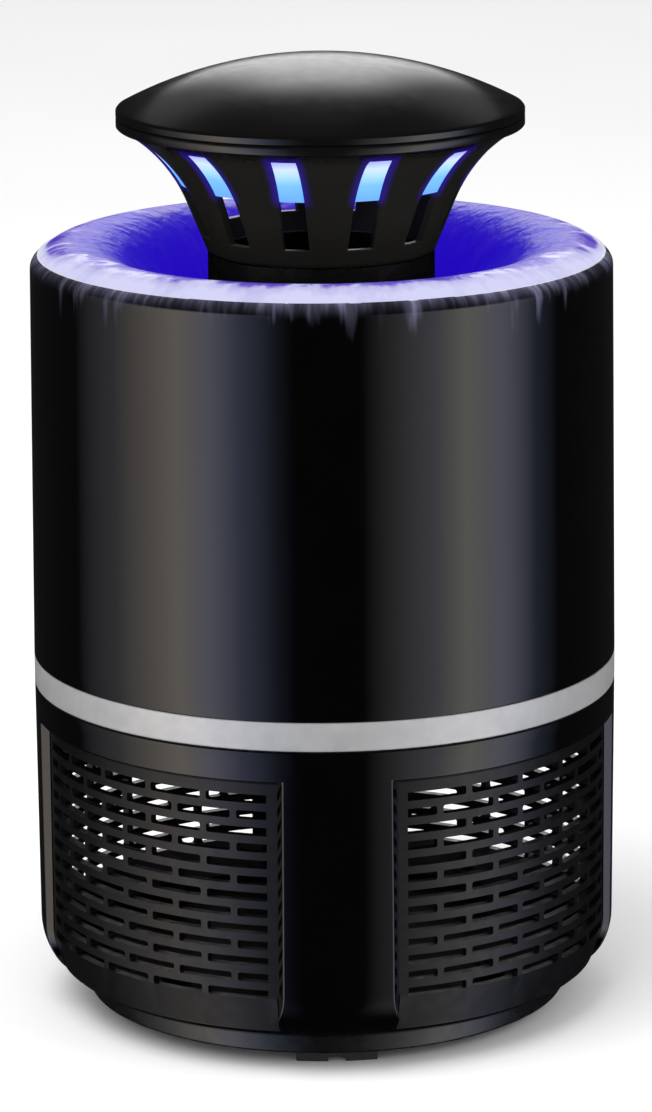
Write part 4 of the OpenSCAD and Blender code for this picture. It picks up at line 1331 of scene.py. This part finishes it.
class TRAP_OT_studio(bpy.types.Operator):
    """Pale floor, soft light and the camera"""
    bl_idname = "trap.studio"
    bl_label = "Studio"

    def floor(self, context):
        vertices = [at(6000, 360 * k / 64, 0) for k in range(64)]
        mesh = bpy.data.meshes.new("floor")
        mesh.from_pydata(vertices, [], [list(range(64))])
        floor = place("floor", mesh)
        finish = Finish("floor_paint", {"Roughness": 0.9, "Specular IOR Level": 0.1})
        finish.drive("Base Color", finish.ramp(
            finish.noise(3), [(0.3, (0.90, 0.90, 0.90)), (0.7, (0.93, 0.93, 0.93))]))
        mesh.materials.append(finish.material)
        floor.visible_glossy = False
        floor.visible_shadow = False

    def soft_boxes(self):
        """A shell of soft boxes that only polished surfaces see."""
        steps, radius = 48, 4.0
        shape = bmesh.new()
        bmesh.ops.create_uvsphere(shape, u_segments=steps, v_segments=steps // 2, radius=radius)
        mesh = bpy.data.meshes.new("soft_boxes")
        shape.to_mesh(mesh)
        shape.free()
        shell = place("soft_boxes", mesh)
        finish = Finish("soft_box_light", {"Base Color": (0, 0, 0, 1), "Emission Strength": 2.4})
        turn = finish.span(finish.turn(), -math.pi, math.pi, 0, 1, "LINEAR")
        height = finish.calc("DIVIDE", finish.z, radius)
        warm, cool, olive = (0.95, 0.85, 0.76), (0.27, 0.31, 0.48), (0.84, 0.85, 0.74)
        dark = (0, 0, 0)
        bands = finish.ramp(turn, [(0.5 + degrees / 360, colour) for degrees, colour in (
            (-112, dark), (-88, (0.2, 0.2, 0.22)), (-72, (0.59, 0.52, 0.46)), (-58, warm),
            (-45, (0.7, 0.7, 0.88)), (-32, cool), (-18, (0.045, 0.06, 0.09)), (-11, dark),
            (15, dark), (29, (0.2, 0.2, 0.21)), (44, (0.43, 0.42, 0.48)), (57, olive),
            (74, (0.6, 0.6, 0.8)), (91, (0.08, 0.1, 0.15)), (104, dark))])
        level = finish.calc("MULTIPLY", finish.span(height, 0.15, 0.42, 1, 0),
                            finish.span(height, -0.95, -0.6))
        side = finish.blend(level, (0, 0, 0, 1), bands)
        aside = finish.calc("ABSOLUTE", finish.calc("DIVIDE", finish.x, finish.calc(
            "MAXIMUM", finish.z, 0.001)))
        behind = finish.calc("GREATER_THAN", finish.y, 0.0)
        swing = finish.calc("ABSOLUTE", finish.calc("DIVIDE", finish.x, finish.calc(
            "MAXIMUM", finish.y, 0.001)))
        panel = finish.calc("MULTIPLY", behind, finish.span(aside, 0.62, 0.66, 1, 0))
        panel = finish.calc("MULTIPLY", panel, finish.span(swing, 0.05, 0.24, 1, 0.1))
        fade = finish.ramp(height, [
            (0.12, dark), (0.17, (0.65,) * 3), (0.36, (0.85,) * 3), (0.50, (0.95,) * 3),
            (0.60, (0.95,) * 3), (0.68, (0.4,) * 3), (0.75, (0.06,) * 3), (0.84, (0.02,) * 3),
            (0.95, dark)])
        overhead = finish.blend(panel, (0, 0, 0, 1), fade)
        finish.drive("Emission Color", finish.blend(1.0, side, overhead, "ADD"))
        finish.material.cycles.emission_sampling = "NONE"
        mesh.materials.append(finish.material)
        for ray in ("camera", "diffuse", "transmission", "shadow", "volume_scatter"):
            setattr(shell, "visible_" + ray, False)

    def surroundings(self, fill):
        world = bpy.data.worlds.new("surroundings")
        world.use_nodes = True
        tree = world.node_tree
        tree.nodes.clear()
        seen = add(tree, "ShaderNodeLightPath").outputs["Is Camera Ray"]
        strength = calc(tree, "ADD", fill, calc(tree, "MULTIPLY", seen, 1 - fill))
        light = add(tree, "ShaderNodeBackground", {"Strength": strength})
        light.inputs["Color"].default_value = (1, 1, 1, 1)
        end = add(tree, "ShaderNodeOutputWorld")
        tree.links.new(light.outputs[0], end.inputs["Surface"])
        bpy.context.scene.world = world
        world.cycles_visibility.glossy = False

    def lamp(self, name, place_at, size, power):
        """A soft box over the trap, aimed at its middle."""
        light = bpy.data.lights.new(name, "AREA")
        light.shape = "SQUARE"
        light.size = size
        light.energy = power
        lamp = bpy.data.objects.new(name, light)
        bpy.context.scene.collection.objects.link(lamp)
        middle = (CAD_BOX[0] + CAD_BOX[1]) / 2
        lamp.location = place_at
        lamp.rotation_euler = (middle - Vector(place_at)).to_track_quat("-Z", "Y").to_euler()
        lamp.visible_glossy = False
        lamp.visible_camera = False

    def camera(self, studio):
        camera = bpy.data.cameras.new("camera")
        camera.lens = studio.lens
        camera.sensor_width = 36
        camera.clip_end = 50
        eye = bpy.data.objects.new("camera", camera)
        bpy.context.scene.collection.objects.link(eye)
        ahead = Vector((0, math.cos(studio.tilt), -math.sin(studio.tilt)))
        up = Vector((0, math.sin(studio.tilt), math.cos(studio.tilt)))
        across = Vector((1, 0, 0))
        right = math.cos(studio.roll) * across + math.sin(studio.roll) * up
        over = math.cos(studio.roll) * up - math.sin(studio.roll) * across
        basis = Matrix((right, over, -ahead)).transposed()
        eye.matrix_world = Matrix.Translation(studio.eye) @ basis.to_4x4()
        bpy.context.scene.camera = eye

    def execute(self, context):
        studio = context.scene.trap_studio
        self.camera(studio)
        self.floor(context)
        self.soft_boxes()
        self.surroundings(studio.fill)
        self.lamp("overhead", (-0.5, -0.6, 1.6), 1.2, 20)
        self.lamp("side", (1.2, -0.4, 0.9), 0.9, 5)
        context.scene.view_settings.view_transform = "Standard"
        return {"FINISHED"}


class TRAP_PT_panel(bpy.types.Panel):
    """Sizes, colours and build steps of the insect trap"""
    bl_label = "Insect Trap"
    bl_space_type = "VIEW_3D"
    bl_region_type = "UI"
    bl_category = "Insect Trap"

    def draw(self, context):
        for group in GROUPS:
            for item in group.__annotations__:
                self.layout.prop(getattr(context.scene, GROUPS[group]), item)
        for step in STEPS:
            self.layout.operator(step.bl_idname)


GROUPS = {TrapBody: "trap_body", TrapMesh: "trap_mesh", TrapHead: "trap_head",
          TrapColours: "trap_colours", TrapStudio: "trap_studio"}
STEPS = (TRAP_OT_studio, TRAP_OT_collector, TRAP_OT_mesh_inserts, TRAP_OT_foot_ring,
         TRAP_OT_housing, TRAP_OT_trim_band, TRAP_OT_bell_mouth, TRAP_OT_lamp_head, TRAP_OT_lamp,
         TRAP_OT_button, TRAP_OT_screws, TRAP_OT_inner_parts)


def register():
    for item in (*GROUPS, *STEPS, TRAP_PT_panel):
        bpy.utils.register_class(item)
    for group, label in GROUPS.items():
        setattr(bpy.types.Scene, label, bpy.props.PointerProperty(type=group))


def unregister():
    for label in GROUPS.values():
        delattr(bpy.types.Scene, label)
    for item in (TRAP_PT_panel, *reversed(STEPS), *reversed(GROUPS)):
        bpy.utils.unregister_class(item)


def main():
    register()
    bpy.ops.trap.studio()
    bpy.ops.trap.collector()
    bpy.ops.trap.mesh_inserts()
    bpy.ops.trap.foot_ring()
    bpy.ops.trap.housing()
    bpy.ops.trap.trim_band()
    bpy.ops.trap.bell_mouth()
    bpy.ops.trap.lamp_head()
    bpy.ops.trap.lamp()
    bpy.ops.trap.button()
    bpy.ops.trap.screws()
    bpy.ops.trap.inner_parts()


if __name__ == "__main__":
    main()
